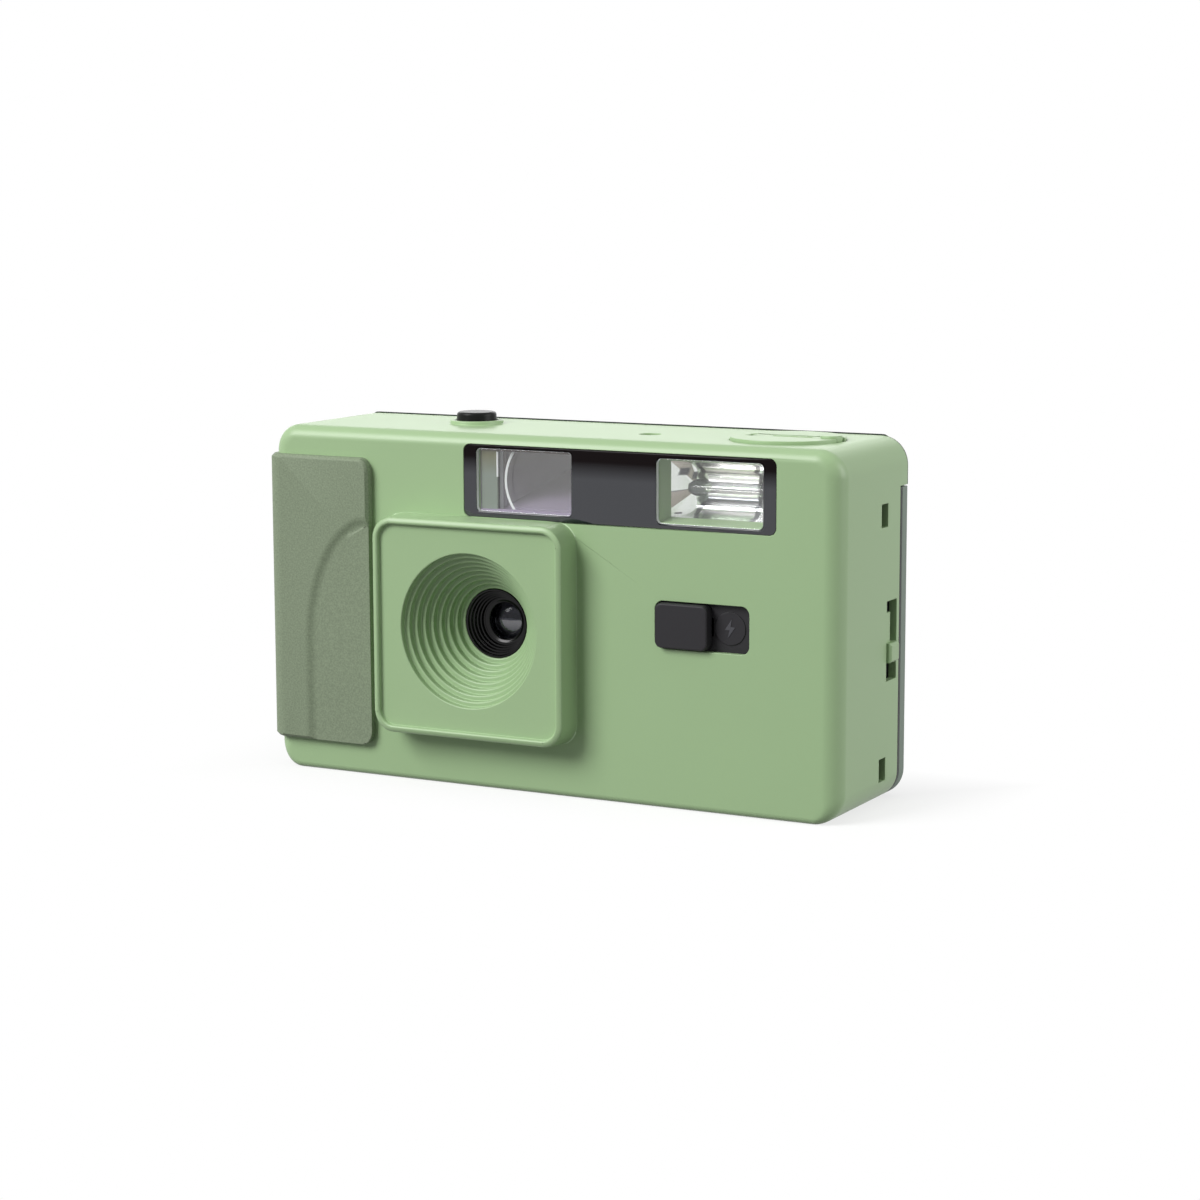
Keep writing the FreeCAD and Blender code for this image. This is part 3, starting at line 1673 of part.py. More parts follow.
def door_latch():
    low = latch_slot_low - 3.2
    high = latch_slot_high + 0.6
    strip = box(latch_inner_x, latch_x - fit_gap, latch_slot_front - 0.6, latch_rear_y, low, high)
    tab_z = latch_slot_low + latch_travel + 0.1
    tab = box(
        latch_x - 0.4,
        half_width + latch_proud,
        latch_slot_front + 0.3,
        latch_slot_back - 0.2,
        tab_z,
        tab_z + latch_tab_height,
    )
    tab = tab.makeChamfer(0.4, [e for e in tab.Edges if e.BoundBox.XMin > half_width + latch_proud - 0.01])
    back_strip = box(
        latch_x - 0.4,
        half_width - 0.4,
        latch_slot_front + 0.3,
        latch_slot_back - 2.0,
        tab_z + latch_tab_height - 0.1,
        latch_slot_high - 2.1,
    )
    return join(strip, tab, back_strip)


def latch_spring():
    x = (latch_inner_x + latch_x - fit_gap) / 2
    y = (latch_slot_front + latch_rear_y) / 2
    width = 0.34
    top = latch_slot_low - 3.2 - 0.03
    low = latch_slot_low - 12 + 2.0
    # A flat zigzag of strip
    turns = 4
    pitch = (top - low) / turns
    legs = []
    for index in range(turns):
        z = low + index * pitch
        legs.append(box(x - width, x + width, y - 1.6, y + 1.6, z, z + 0.4))
        side = y + 1.6 if index % 2 else y - 1.6
        legs.append(box(x - width, x + width, side - 0.2, side + 0.2, z, z + pitch + 0.4))
    legs.append(box(x - width, x + width, y - 1.6, y + 1.6, top - 0.4, top))
    spring = join(*legs)
    return spring.common(box(x - 1, x + 1, y - 3, y + 3, low, top))


def battery():
    left, right = battery_x - battery_half, battery_x + battery_half
    cell = rod_x(battery_y, battery_z, battery_radius, left, right - 1.0, 32)
    nub = rod_x(battery_y, battery_z, 1.9, right - 1.2, right)
    return join(cell, nub)


def battery_contact(side):
    # Spring leaf for one end of the battery
    inner = battery_x + side * (battery_half + 0.05)
    outer = battery_x + side * (cradle_x - 0.03)
    back = battery_x + side * (cradle_x - 0.43)
    plate = box(
        min(outer, back), max(outer, back), battery_y - 3.6, battery_y + 3.6, battery_z - 4.0, battery_z + 4.4
    )
    tongue = box(
        min(inner, outer), max(inner, outer), battery_y - 1.6, battery_y + 1.6, battery_z - 1.4, battery_z + 1.4
    )
    return join(plate, tongue)


def battery_door():
    half = battery_half + 1.7 - loose_gap
    left, right = battery_x - half, battery_x + half
    low = wall / 2 - battery_door_thickness / 2
    plate = box(left, right, battery_door_front, battery_hinge_y, low, low + battery_door_thickness)
    barrel = rod_x(battery_hinge_y, battery_hinge_z, battery_pin_radius, left, right)
    pin_reach = battery_half + 2.8
    pins = rod_x(battery_hinge_y, battery_hinge_z, 0.45, battery_x - pin_reach, battery_x + pin_reach)
    grip = box(
        battery_x - 4,
        battery_x + 4,
        battery_door_front + 1.2,
        battery_door_front + 2.0,
        low - 0.01,
        low + 0.4,
    )
    return cut(join(plate, barrel, pins), grip)


def rewind_release_button():
    flange_top = wall + 1.0
    reach = release_radius + 0.6
    button = post_z(sprocket_x, sprocket_y, release_radius, 0.05, flange_top)
    flange = box(
        sprocket_x - reach,
        sprocket_x + reach,
        sprocket_y - reach,
        sprocket_y + reach,
        wall + fit_gap,
        flange_top,
    )
    stem = rod_z(sprocket_x, sprocket_y, 1.1, flange_top, bearing_z - release_travel - 0.5)
    return join(button, flange, stem)


def release_spring():
    return coil_spring(
        sprocket_x,
        sprocket_y,
        wall + 1.0 + 0.02,
        bearing_z - 0.02,
        1.75,
        spring_wire_radius,
        release_spring_turns,
    )


def flash_capacitor():
    low = lens_z - capacitor_drop
    y = board_y - fit_gap - capacitor_radius
    return rod_z(capacitor_x, y, capacitor_radius, low, low + capacitor_length, 24)


def flash_board():
    left = capacitor_x - capacitor_radius - 0.4
    right = cassette_x - cassette_chamber_radius - chamber_wall - 0.4
    low = lens_z - capacitor_drop
    return box(left, right, board_y, board_y + board_thickness, low, low + capacitor_length)


def trigger_coil():
    x = capacitor_x + capacitor_radius + 3.0
    y = board_y - fit_gap / 2 - 2.0
    coil = rod_z(x, y, 2.0, lens_z + 3.0, lens_z + 10.0)
    flanges = []
    for z in (lens_z + 2.4, lens_z + 9.9):
        flanges.append(box(x - 2.0, x + 2.0, y - 1.8, board_y - 0.02, z, z + 0.7))
    return join(coil, *flanges)


pieces = {
    "front_cover": front_cover,
    "hand_grip": hand_grip,
    "window_panel": window_panel,
    "viewfinder_window": viewfinder_window,
    "flash_window": flash_window,
    "viewfinder_frame": finder_frame,
    "viewfinder_front_lens": viewfinder_front_lens,
    "viewfinder_rear_lens": viewfinder_rear_lens,
    "flash_reflector": flash_reflector,
    "flash_tube": flash_tube,
    "flash_board": flash_board,
    "flash_capacitor": flash_capacitor,
    "trigger_coil": trigger_coil,
    "switch_plate": switch_plate,
    "flash_switch_slider": flash_switch_slider,
    "lens_barrel": lens_barrel,
    "front_lens_element": front_lens_element,
    "rear_lens_element": rear_lens_element,
    "aperture_plate": aperture_plate,
    "shutter_plate": shutter_plate,
    "shutter_blade": shutter_blade,
    "blade_spring": blade_spring,
    "release_leg": release_leg,
    "shutter_button": shutter_button,
    "button_spring": button_spring,
    "main_chassis": main_chassis,
    "chassis_screws": chassis_screws,
    "take_up_spool": take_up_spool,
    "thumb_wheel": thumb_wheel,
    "ratchet_spring": ratchet_spring,
    "sprocket_wheel": sprocket_wheel,
    "counter_dial": counter_dial,
    "counter_window": counter_window,
    "rewind_shaft": rewind_shaft,
    "rewind_clip": rewind_clip,
    "rewind_knob": rewind_knob,
    "rewind_crank": rewind_crank,
    "crank_pin": crank_pin,
    "rear_top_cover": rear_top_cover,
    "flash_ready_lamp": flash_ready_lamp,
    "back_door": back_door,
    "door_hinge_pin": door_hinge_pin,
    "film_window": film_window,
    "pressure_plate": pressure_plate,
    "pressure_spring": pressure_spring,
    "door_latch": door_latch,
    "latch_spring": latch_spring,
    "battery": battery,
    "battery_door": battery_door,
    "battery_contact_left": lambda: battery_contact(-1),
    "battery_contact_right": lambda: battery_contact(1),
    "rewind_release_button": rewind_release_button,
    "release_spring": release_spring,
}

os.makedirs("parts", exist_ok=True)
for name, make in pieces.items():
    shape = make()
    shape.exportStep("parts/" + name + ".step")
    state = "valid" if shape.isValid() else "NOT VALID"
    print(name, len(shape.Solids), "solids", round(shape.Volume, 2), "mm3", state)
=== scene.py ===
import json
import math

import bmesh
import bpy
from mathutils import Matrix, Vector


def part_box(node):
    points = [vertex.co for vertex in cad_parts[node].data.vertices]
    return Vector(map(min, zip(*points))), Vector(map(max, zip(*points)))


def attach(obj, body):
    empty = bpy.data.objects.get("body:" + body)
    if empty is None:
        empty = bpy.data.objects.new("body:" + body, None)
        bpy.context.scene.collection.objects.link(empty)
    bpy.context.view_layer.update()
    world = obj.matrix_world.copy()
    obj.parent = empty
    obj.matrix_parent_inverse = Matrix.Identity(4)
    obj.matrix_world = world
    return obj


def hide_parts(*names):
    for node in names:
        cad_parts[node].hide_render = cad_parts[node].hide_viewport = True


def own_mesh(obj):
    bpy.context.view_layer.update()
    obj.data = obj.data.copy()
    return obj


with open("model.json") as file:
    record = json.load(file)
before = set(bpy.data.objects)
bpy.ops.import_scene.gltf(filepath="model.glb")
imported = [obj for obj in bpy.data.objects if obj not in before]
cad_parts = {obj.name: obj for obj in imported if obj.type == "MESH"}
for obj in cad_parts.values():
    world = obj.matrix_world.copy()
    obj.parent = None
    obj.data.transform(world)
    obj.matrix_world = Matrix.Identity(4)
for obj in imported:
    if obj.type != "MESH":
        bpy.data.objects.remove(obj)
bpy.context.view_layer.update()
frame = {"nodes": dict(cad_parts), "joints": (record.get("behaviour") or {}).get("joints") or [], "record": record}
# the scene is in metres, and the values below are in millimetres unless they place the camera or a lamp
mm = 0.001
print("frame loaded")

# Camera and lamps: the view is the photograph's, fitted to the body's corners
view = {
    "place": (0.2440, -0.4508, 0.1114),
    "target": (0.01148, -0.0148, 0.03593),
    "roll": -0.16,
    "lens": 85.94,
}
lamps = {
    "key": {"place": (-0.70, -1.02, 0.90), "width": 0.8, "height": 0.8, "power": 24.2},
    "above": {"place": (0.05, -0.25, 1.20), "width": 0.6, "height": 0.6, "power": 0.8},
    "right": {"place": (1.10, 0.20, 0.40), "width": 0.7, "height": 0.7, "power": 6.8},
    "back": {"place": (-0.70, 1.32, 0.46), "width": 1.4, "height": 0.3, "power": 3.0},
}
lampTarget = (0, 0, 0.03)
# White as seen, dimmer as a source of light; the floor's shadow fades out shadowReach from the body
room = {
    "ambient": 0.235,
    "bounce": 0.16,
    "seen": 0.98,
    "shadowNear": 0.72,
    "shadowReach": 20.0,
    "footprint": (57, 15),
    "floorSize": 12.0,
}


def aimAt(thing, target, roll=0.0):
    direction = Vector(target) - thing.location
    thing.rotation_euler = direction.to_track_quat("-Z", "Y").to_euler()
    thing.rotation_euler.rotate_axis("Z", math.radians(roll))


def addCamera():
    data = bpy.data.cameras.new("photoView")
    data.sensor_width = 36.0
    data.sensor_fit = "HORIZONTAL"
    data.lens = view["lens"]
    data.clip_start = 0.01
    camera = bpy.data.objects.new("photoView", data)
    camera.location = view["place"]
    aimAt(camera, view["target"], view["roll"])
    bpy.context.scene.collection.objects.link(camera)
    bpy.context.scene.camera = camera


def addLamps():
    for name, lamp in lamps.items():
        data = bpy.data.lights.new(name, "AREA")
        data.shape = "RECTANGLE"
        data.size = lamp["width"]
        data.size_y = lamp["height"]
        data.energy = lamp["power"]
        light = bpy.data.objects.new(name, data)
        light.location = lamp["place"]
        aimAt(light, lampTarget)
        bpy.context.scene.collection.objects.link(light)


class Val:
    # Wraps a socket, so that shader maths can be written as plain expressions
    def __init__(self, tree, socket):
        self.tree = tree
        self.socket = socket

    def node(self, kind, sockets=None, settings=None, stops=None, out=0):
        made = self.tree.nodes.new(kind)
        for key, value in (settings or {}).items():
            setattr(made, key, value)
        if stops:
            ramp = made.color_ramp
            while len(ramp.elements) < len(stops):
                ramp.elements.new(1.0)
            for element, (place, colour) in zip(ramp.elements, stops):
                element.position = place
                element.color = colour
        for key, value in (sockets or {}).items():
            if isinstance(value, Val):
                self.tree.links.new(value.socket, made.inputs[key])
            else:
                made.inputs[key].default_value = value
        return Val(self.tree, made.outputs[out])

    def maths(self, operation, first, second):
        return self.node("ShaderNodeMath", {0: first, 1: second}, {"operation": operation})

    def __add__(self, other):
        return self.maths("ADD", self, other)

    __radd__ = __add__

    def __sub__(self, other):
        return self.maths("SUBTRACT", self, other)

    def __rsub__(self, other):
        return self.maths("SUBTRACT", other, self)

    def __mul__(self, other):
        return self.maths("MULTIPLY", self, other)

    def __gt__(self, other):
        return self.maths("GREATER_THAN", self, other)

    def __lt__(self, other):
        return self.maths("LESS_THAN", self, other)

    def larger(self, other):
        return self.maths("MAXIMUM", self, other)

    def power(self, other):
        return self.maths("POWER", self, other)

    def fraction(self):
        return self.node("ShaderNodeMath", {0: self}, {"operation": "FRACT"})

    def size(self):
        return self.node("ShaderNodeMath", {0: self}, {"operation": "ABSOLUTE"})

    def clamp(self):
        return self.node("ShaderNodeClamp", {"Value": self})

    def rise(self, low, high):
        # 0 below low, 1 above high and a straight slope between them
        return self.node("ShaderNodeMapRange", {"Value": self, "From Min": low, "From Max": high})

    def parts(self):
        # The x, y and z of a vector, each in millimetres
        split = self.node("ShaderNodeSeparateXYZ", {0: self}).socket.node
        return [Val(self.tree, split.outputs[index]) * 1000 for index in range(3)]


def linear(red, green, blue):
    # Screen colour in 0..255 to the renderer's linear colour
    def one(value):
        value = value / 255.0
        return value / 12.92 if value <= 0.04045 else ((value + 0.055) / 1.055) ** 2.4

    return (one(red), one(green), one(blue), 1.0)


def scaled(colour, share):
    return tuple(min(1.0, part * share) for part in colour[:3]) + (1.0,)


def newMaterial(name):
    material = bpy.data.materials.new(name)
    material.use_nodes = True
    tree = material.node_tree
    places = tree.nodes.new("ShaderNodeTexCoord")
    return material, tree.nodes["Principled BSDF"], Val(tree, places.outputs["Object"])


def mixColour(factor, first, second):
    made = factor.tree.nodes.new("ShaderNodeMix")
    made.data_type = "RGBA"
    for index, value in ((0, factor), (6, first), (7, second)):
        if isinstance(value, Val):
            factor.tree.links.new(value.socket, made.inputs[index])
        else:
            made.inputs[index].default_value = value
    return Val(factor.tree, made.outputs[2])


def noise(place, scale, detail=2.0, roughness=0.5):
    return place.node(
        "ShaderNodeTexNoise",
        {"Vector": place, "Scale": scale, "Detail": detail, "Roughness": roughness},
    )


def bump(height, strength, depth):
    return height.node("ShaderNodeBump", {"Height": height, "Strength": strength, "Distance": depth * mm})


def feed(shader, socketName, value):
    value.tree.links.new(value.socket, shader.inputs[socketName])


# Each plastic: colour, roughness, grain of its mould and its depth in mm, drift of tone, specular, share of flecks
plastics = {
    "coverGreen": ((155, 183, 138), 0.4, 5200, 0.01, 0.03, 0.5, 0.3),
    "gripGrey": ((127, 140, 116), 0.62, 3300, 0.05, 0.19, 0.35, 0.75),
    "backGrey": ((142, 154, 144), 0.65, 3300, 0.03, 0.05, 0.12, 0.3),
    "satinBlack": ((30, 30, 32), 0.42, 4200, 0.01, 0.15, 0.3, 0.3),
    "capBlack": ((43, 42, 45), 0.5, 4200, 0.012, 0.12, 0.2, 0.3),
    "buttonBlack": ((16, 17, 16), 0.34, 2600, 0.006, 0.2, 0.14, 0.3),
    "barrelBlack": ((4, 4, 5), 0.2, 2600, 0.002, 0.2, 0.25, 0.3),
    "dialWhite": ((222, 222, 217), 0.4, 4200, 0.008, 0.03, 0.5, 0.3),
    "boardGreen": ((38, 92, 58), 0.35, 1800, 0.01, 0.2, 0.5, 0.3),
    "sleeveBlack": ((14, 14, 16), 0.2, 900, 0.004, 0.2, 0.5, 0.3),
    "lampAmber": ((230, 120, 40), 0.2, 1800, 0.004, 0.1, 0.5, 0.3),
    "cellSleeve": ((62, 66, 72), 0.3, 1500, 0.004, 0.1, 0.5, 0.3),
    # paneEdge is near-white: glass edges and rings are drawn opaque as a painted highlight
    "paneEdge": ((232, 235, 236), 0.3, 2600, 0.002, 0.05, 0.5, 0.3),
    "paintedFootHighlight": ((186, 211, 171), 0.28, 5200, 0.004, 0.05, 0.6, 0.3),
    "rearTopDark": ((44, 49, 46), 0.7, 3300, 0.01, 0.08, 0.04, 0.3),
    "signHighlightGrey": ((70, 70, 75), 0.5, 4200, 0.006, 0.08, 0.3, 0.3),
}
metals = {
    "springSteel": {"colour": (186, 188, 192), "rough": 0.28, "scratch": 2600},
    "shutterBlack": {"colour": (24, 24, 25), "rough": 0.5, "scratch": 3200},
    "coilCopper": {"colour": (184, 112, 66), "rough": 0.35, "scratch": 5200},
}
# Clear pieces: the share of their shine over what lies behind, and its roughness
glasses = {
    "clearPane": {"shine": 0.040, "rough": 0.02},
    "lensGlass": {"shine": 0.050, "rough": 0.02},
    "filmPane": {"shine": 0.12, "rough": 0.05},
    "tubeGlass": {"shine": 0.06, "rough": 0.10},
}
materials = {}


def makePlastic(name, colour, rough, grain, depth, drift, specular, fleck):
    material, shader, place = newMaterial(name)
    base = linear(*colour)
    slow = noise(place, 38.0, 3.0)
    fine = noise(place, grain, 2.0)
    dark, light = scaled(base, 1 - drift), scaled(base, 1 + drift)
    feed(shader, "Base Color", mixColour(slow * (1 - fleck) + fine.rise(0.32, 0.68) * fleck, dark, light))
    feed(shader, "Roughness", rough - 0.04 + slow * 0.05 + fine * 0.03)
    feed(shader, "Normal", bump(fine, 0.6, depth))
    shader.inputs["Specular IOR Level"].default_value = specular
    materials[name] = material


def makeMetal(name, look):
    material, shader, place = newMaterial(name)
    base = linear(*look["colour"])
    feed(shader, "Base Color", mixColour(noise(place, 120.0, 2.0), scaled(base, 0.86), base))
    feed(shader, "Roughness", look["rough"] - 0.03 + noise(place, look["scratch"], 3.0) * 0.08)
    shader.inputs["Metallic"].default_value = 1.0
    materials[name] = material


def clearShader(name, shine, rough, tint=(1, 1, 1, 1)):
    # Lets the light through and keeps only the shine of its skin
    material, shader, place = newMaterial(name)
    tree = material.node_tree
    tree.nodes.remove(shader)
    through = place.node("ShaderNodeBsdfTransparent", {"Color": tint})
    skinRough = rough + noise(place, 90.0) * 0.02
    skin = place.node("ShaderNodeBsdfGlossy", {"Color": (1, 1, 1, 1), "Roughness": skinRough})
    mixed = place.node("ShaderNodeMixShader", {0: shine(place), 1: through, 2: skin})
    tree.links.new(mixed.socket, tree.nodes["Material Output"].inputs["Surface"])
    materials[name] = material


for name, look in plastics.items():
    makePlastic(name, *look)
for name, look in metals.items():
    makeMetal(name, look)
for name, look in glasses.items():
    clearShader(name, lambda place, look=look: noise(place, 60.0) * 0.01 + look["shine"], look["rough"])

# Painted reflection on the window panel: colour below and at the top, the heights of the fade, and the coat's shine at
# the top and below
paintedPanelReflection = {
    "below": (5, 12, 27),
    "top": (20, 14, 15),
    "fadeTop": 60.3,
    "fadeLow": 57.2,
    "coatTop": 0.06,
    "coatBelow": 0.97,
    "ior": 1.74,
}


def makePanelBlack():
    # Piano black with a painted reflection: its shine is strong low down, as over a lit table, and faint at the top,
    # where its colour turns brown
    material, shader, place = newMaterial("panelBlack")
    x, y, z = place.parts()
    paintedReflectionBelow = 1 - (z + noise(place, 40.0) * 0.5).rise(paintedPanelReflection["fadeLow"], paintedPanelReflection["fadeTop"])
    feed(shader, "Base Color", mixColour(paintedReflectionBelow, linear(*paintedPanelReflection["top"]), linear(*paintedPanelReflection["below"])))
    feed(shader, "Roughness", 0.05 + noise(place, 300.0) * 0.03)
    feed(shader, "Coat Weight", paintedPanelReflection["coatTop"] + paintedReflectionBelow * (paintedPanelReflection["coatBelow"] - paintedPanelReflection["coatTop"]))
    shader.inputs["Specular IOR Level"].default_value = 0.0
    shader.inputs["Coat IOR"].default_value = paintedPanelReflection["ior"]
    shader.inputs["Coat Roughness"].default_value = 0.03
    materials["panelBlack"] = material


# Walls behind the finder's pane: each is browner and darker towards its top, a painted reflection; the blank's green
# is greyer and darker than the cover's, painted shade
tunnelsWithPaintedReflection = {
    "tunnelMauve": {"low": (141, 130, 154), "high": (66, 46, 40), "from": 53.0, "to": 59.5},
    "blankGreen": {"low": (114, 125, 115), "high": (84, 84, 48), "from": 57.3, "to": 61.2},
}


def makeTunnel(name, look):
    material, shader, place = newMaterial(name)
    x, y, z = place.parts()
    drift = noise(place, 60.0, 2.0)
    # share of the painted reflection, rising towards the top
    upper = (z + drift * 1.5).rise(look["from"], look["to"])
    feed(shader, "Base Color", mixColour(upper, linear(*look["low"]), linear(*look["high"])))
    feed(shader, "Roughness", 0.5 + drift * 0.1)
    materials[name] = material


# Reflector's painted reflections: the light and dark bands go from low to high, and the light and dark sectors of its
# end walls turn about the tube's end
chrome = {
    "middle": 32.57,
    "tube": 55.6,
    "tubeEnd": 5.9,
    "tubeRound": (1.2, 1.5),
    "low": 50.45,
    "high": 60.75,
    "seam": 5.0,
    "pitch": 2.06,
    "seamReflectionLow": (116, 118, 122),
    "seamReflectionHigh": (50, 45, 45),
    "reflectedSpot": (84, 84, 88),
    "reflectedSpots": ((1.93, 2.9, 0.62, 0.6), (0.6, 2.15, 0.3, 0.6), (1.3, 0.6, 0.14, 0.2), (2.7, -4.3, 0.5, 0.16)),
    "reflectionBands": (
        (0.00, (206, 218, 200)),
        (0.06, (184, 204, 178)),
        (0.10, (252, 252, 252)),
        (0.20, (254, 254, 254)),
        (0.25, (222, 222, 224)),
        (0.29, (160, 162, 166)),
        (0.345, (152, 155, 160)),
        (0.375, (248, 248, 248)),
        (0.46, (250, 250, 248)),
        (0.485, (140, 141, 144)),
        (0.51, (224, 225, 228)),
        (0.58, (196, 198, 202)),
        (0.60, (120, 121, 125)),
        (0.625, (250, 250, 248)),
        (0.74, (248, 247, 244)),
        (0.765, (138, 136, 134)),
        (0.79, (228, 224, 218)),
        (0.90, (236, 233, 228)),
        (0.95, (253, 253, 253)),
        (0.98, (110, 111, 114)),
    ),
    "reflectionSectors": (
        (0.00, (252, 253, 254)),
        (0.255, (252, 253, 254)),
        (0.262, (168, 158, 152)),
        (0.44, (182, 173, 168)),
        (0.446, (120, 120, 124)),
        (0.458, (120, 120, 124)),
        (0.464, (252, 253, 254)),
        (0.79, (252, 253, 254)),
        (0.797, (178, 172, 162)),
        (0.92, (160, 155, 148)),
        (0.927, (252, 253, 254)),
    ),
}


def ramp(share, stops):
    coloured = [(place, linear(*colour)) for place, colour in stops]
    return share.node("ShaderNodeValToRGB", {"Fac": share}, stops=coloured)


def makeChrome():
    # Bright plating with painted reflections: light and dark bands along the flutes, flat light and dark sectors round
    # the tube at both ends with dark spots, and a seam between
    material, shader, place = newMaterial("reflectorChrome")
    x, y, z = place.parts()
    drift = noise(place, 90.0, 2.0)
    up = z - chrome["tube"]
    across = (x - chrome["middle"]).size()
    side = across - chrome["tubeEnd"]
    flute = ((up * (1 / chrome["pitch"]) + 0.5).fraction() - 0.5).size() * 2
    reflectionBands = ramp((z + drift * 0.12).rise(chrome["low"], chrome["high"]), chrome["reflectionBands"])
    facets = ramp(up.maths("ARCTAN2", up, side) * (1 / math.pi) + 0.5, chrome["reflectionSectors"])
    reflectedSpot = linear(*chrome["reflectedSpot"])
    for out, high, wide, tall in chrome["reflectedSpots"]:
        beside = (side + up * 0.25 - out - high * 0.25).size() * (1 / wide)
        far = beside.larger((up - high).size() * (1 / tall))
        facets = mixColour(1 - (far + drift * 0.6).rise(1.0, 1.5), facets, reflectedSpot)
    reach = side * side + up * up
    inner, outer = chrome["tubeRound"]
    facets = mixColour(reach < outer**2, facets, reflectedSpot)
    facets = mixColour(reach < inner**2, facets, linear(*chrome["seamReflectionLow"]))
    seam = chrome["seam"] + (1 - flute.power(2.0)) * 0.7
    colour = mixColour(across > seam, reflectionBands, facets)
    edge = 1 - ((across - seam - 0.2 + noise(place, 800.0, 1.0) * 0.4).size()).rise(0.3, 0.6)
    above = z.rise(chrome["tube"], chrome["tube"] + 2)
    # painted reflection on the seam: grey below the tube and dark above it
    tone = mixColour(above, linear(*chrome["seamReflectionLow"]), linear(*chrome["seamReflectionHigh"]))
    feed(shader, "Base Color", mixColour(edge * 0.92, colour, tone))
    feed(shader, "Roughness", 0.20 + drift * 0.08)
    shader.inputs["Metallic"].default_value = 0.82
    materials["reflectorChrome"] = material


# Front glass: a painted reflection, dark above its middle, and a grey window of light below it
front = {"horizon": 29.35, "fade": 26.4, "above": 0.012, "below": 0.11, "rough": 0.03, "tint": (0.55, 0.56, 0.60, 1.0)}


def frontGlassPaintedReflection(place):
    x, y, z = place.parts()
    below = 1 - z.rise(front["horizon"] - 0.08, front["horizon"] + 0.08)
    fading = z.rise(front["fade"], front["horizon"] - 0.6)
    return front["above"] + below * fading * (front["below"] - front["above"])


makePanelBlack()
for name, look in tunnelsWithPaintedReflection.items():
    makeTunnel(name, look)
makeChrome()
clearShader("frontGlass", frontGlassPaintedReflection, front["rough"], front["tint"])
print("materials ready")


def deselectAll():
    bpy.ops.object.select_all(action="DESELECT")


def workOn(piece):
    deselectAll()
    piece.select_set(True)
    bpy.context.view_layer.objects.active = piece


def applyModifiers(piece):
    workOn(piece)
    for modifier in list(piece.modifiers):
        bpy.ops.object.modifier_apply(modifier=modifier.name)


def copyOf(node, name):
    # A merged copy of a CAD node, with its flat triangles paired up
    mesh = frame["nodes"][node].data.copy()
    piece = bpy.data.objects.new(name, mesh)
    bpy.context.scene.collection.objects.link(piece)
    mesh.materials.clear()
    workOn(piece)
    bpy.ops.object.mode_set(mode="EDIT")
    bpy.ops.mesh.select_all(action="SELECT")
    bpy.ops.mesh.remove_doubles(threshold=0.000002)
    bpy.ops.mesh.beautify_fill(angle_limit=math.radians(0.5))
    bpy.ops.mesh.tris_convert_to_quads(face_threshold=math.radians(0.5), shape_threshold=math.radians(60))
    bpy.ops.object.mode_set(mode="OBJECT")
    return piece


primitives = {
    "cube": bpy.ops.mesh.primitive_cube_add,
    "circle": bpy.ops.mesh.primitive_circle_add,
    "plane": bpy.ops.mesh.primitive_plane_add,
}


def addPrimitive(kind, name, **settings):
    deselectAll()
    primitives[kind](**settings)
    piece = bpy.context.active_object
    piece.name = name
    bpy.ops.object.transform_apply(location=True, rotation=True, scale=True)
    return piece


def addBlock(name, low, high):
    middle = [(a + b) / 2 * mm for a, b in zip(low, high)]
    size = [(b - a) * mm for a, b in zip(low, high)]
    return addPrimitive("cube", name, size=1.0, location=middle, scale=size)


def editMesh(piece, kind="EDGE"):
    # Opens edit mode with nothing selected
    workOn(piece)
    bpy.ops.object.mode_set(mode="EDIT")
    bpy.ops.mesh.select_mode(type=kind)
    bpy.ops.mesh.select_all(action="DESELECT")
    return bmesh.from_edit_mesh(piece.data)


def pickEdges(piece, test, sharp=0.0):
    # Selects the edges whose ends pass the test and whose faces meet at that angle or more
    mesh = editMesh(piece)
    for edge in mesh.edges:
        first, second = (vert.co / mm for vert in edge.verts)
        if test(first, second) and edge.calc_face_angle(math.pi) >= math.radians(sharp):
            edge.select_set(True)
    bmesh.update_edit_mesh(piece.data)


def pickVerts(piece, test):
    mesh = editMesh(piece, "VERT")
    for vert in mesh.verts:
        vert.select_set(bool(test(vert.co / mm)))
    mesh.select_flush(True)
    bmesh.update_edit_mesh(piece.data)


def pickFaces(piece, test):
    mesh = editMesh(piece, "FACE")
    for face in mesh.faces:
        if test(face):
            face.select_set(True)
    bmesh.update_edit_mesh(piece.data)


def leaveEdit():
    bpy.ops.object.mode_set(mode="OBJECT")


def roundPicked(width, segments):
    bpy.ops.mesh.bevel(
        offset=width * mm, segments=segments, profile=0.5, affect="EDGES", clamp_overlap=False, loop_slide=False
    )
    leaveEdit()


def turnOutwards(piece):
    editMesh(piece, "FACE")
    bpy.ops.mesh.select_all(action="SELECT")
    bpy.ops.mesh.normals_make_consistent(inside=False)
    leaveEdit()


def upright(first, second, x, tolerance=0.02):
    return (
        abs(first.x - x) < tolerance
        and abs(second.x - x) < tolerance
        and abs(first.z - second.z) < tolerance
        and abs(first.y - second.y) > 0.1
    )


def softenEdges(piece, width, segments=2, angle=34, clamp=False):
    bevel = piece.modifiers.new("edges", "BEVEL")
    bevel.width = width * mm
    bevel.segments = segments
    bevel.limit_method = "ANGLE"
    bevel.angle_limit = math.radians(angle)
    bevel.use_clamp_overlap = clamp
    bevel.loop_slide = False
    applyModifiers(piece)


def smoothOut(piece, angle=38):
    workOn(piece)
    bpy.ops.object.shade_smooth_by_angle(angle=math.radians(angle))
    weighted = piece.modifiers.new("flatFaces", "WEIGHTED_NORMAL")
    weighted.mode = "FACE_AREA_WITH_ANGLE"
    weighted.weight = 90
    weighted.keep_sharp = True
    applyModifiers(piece)


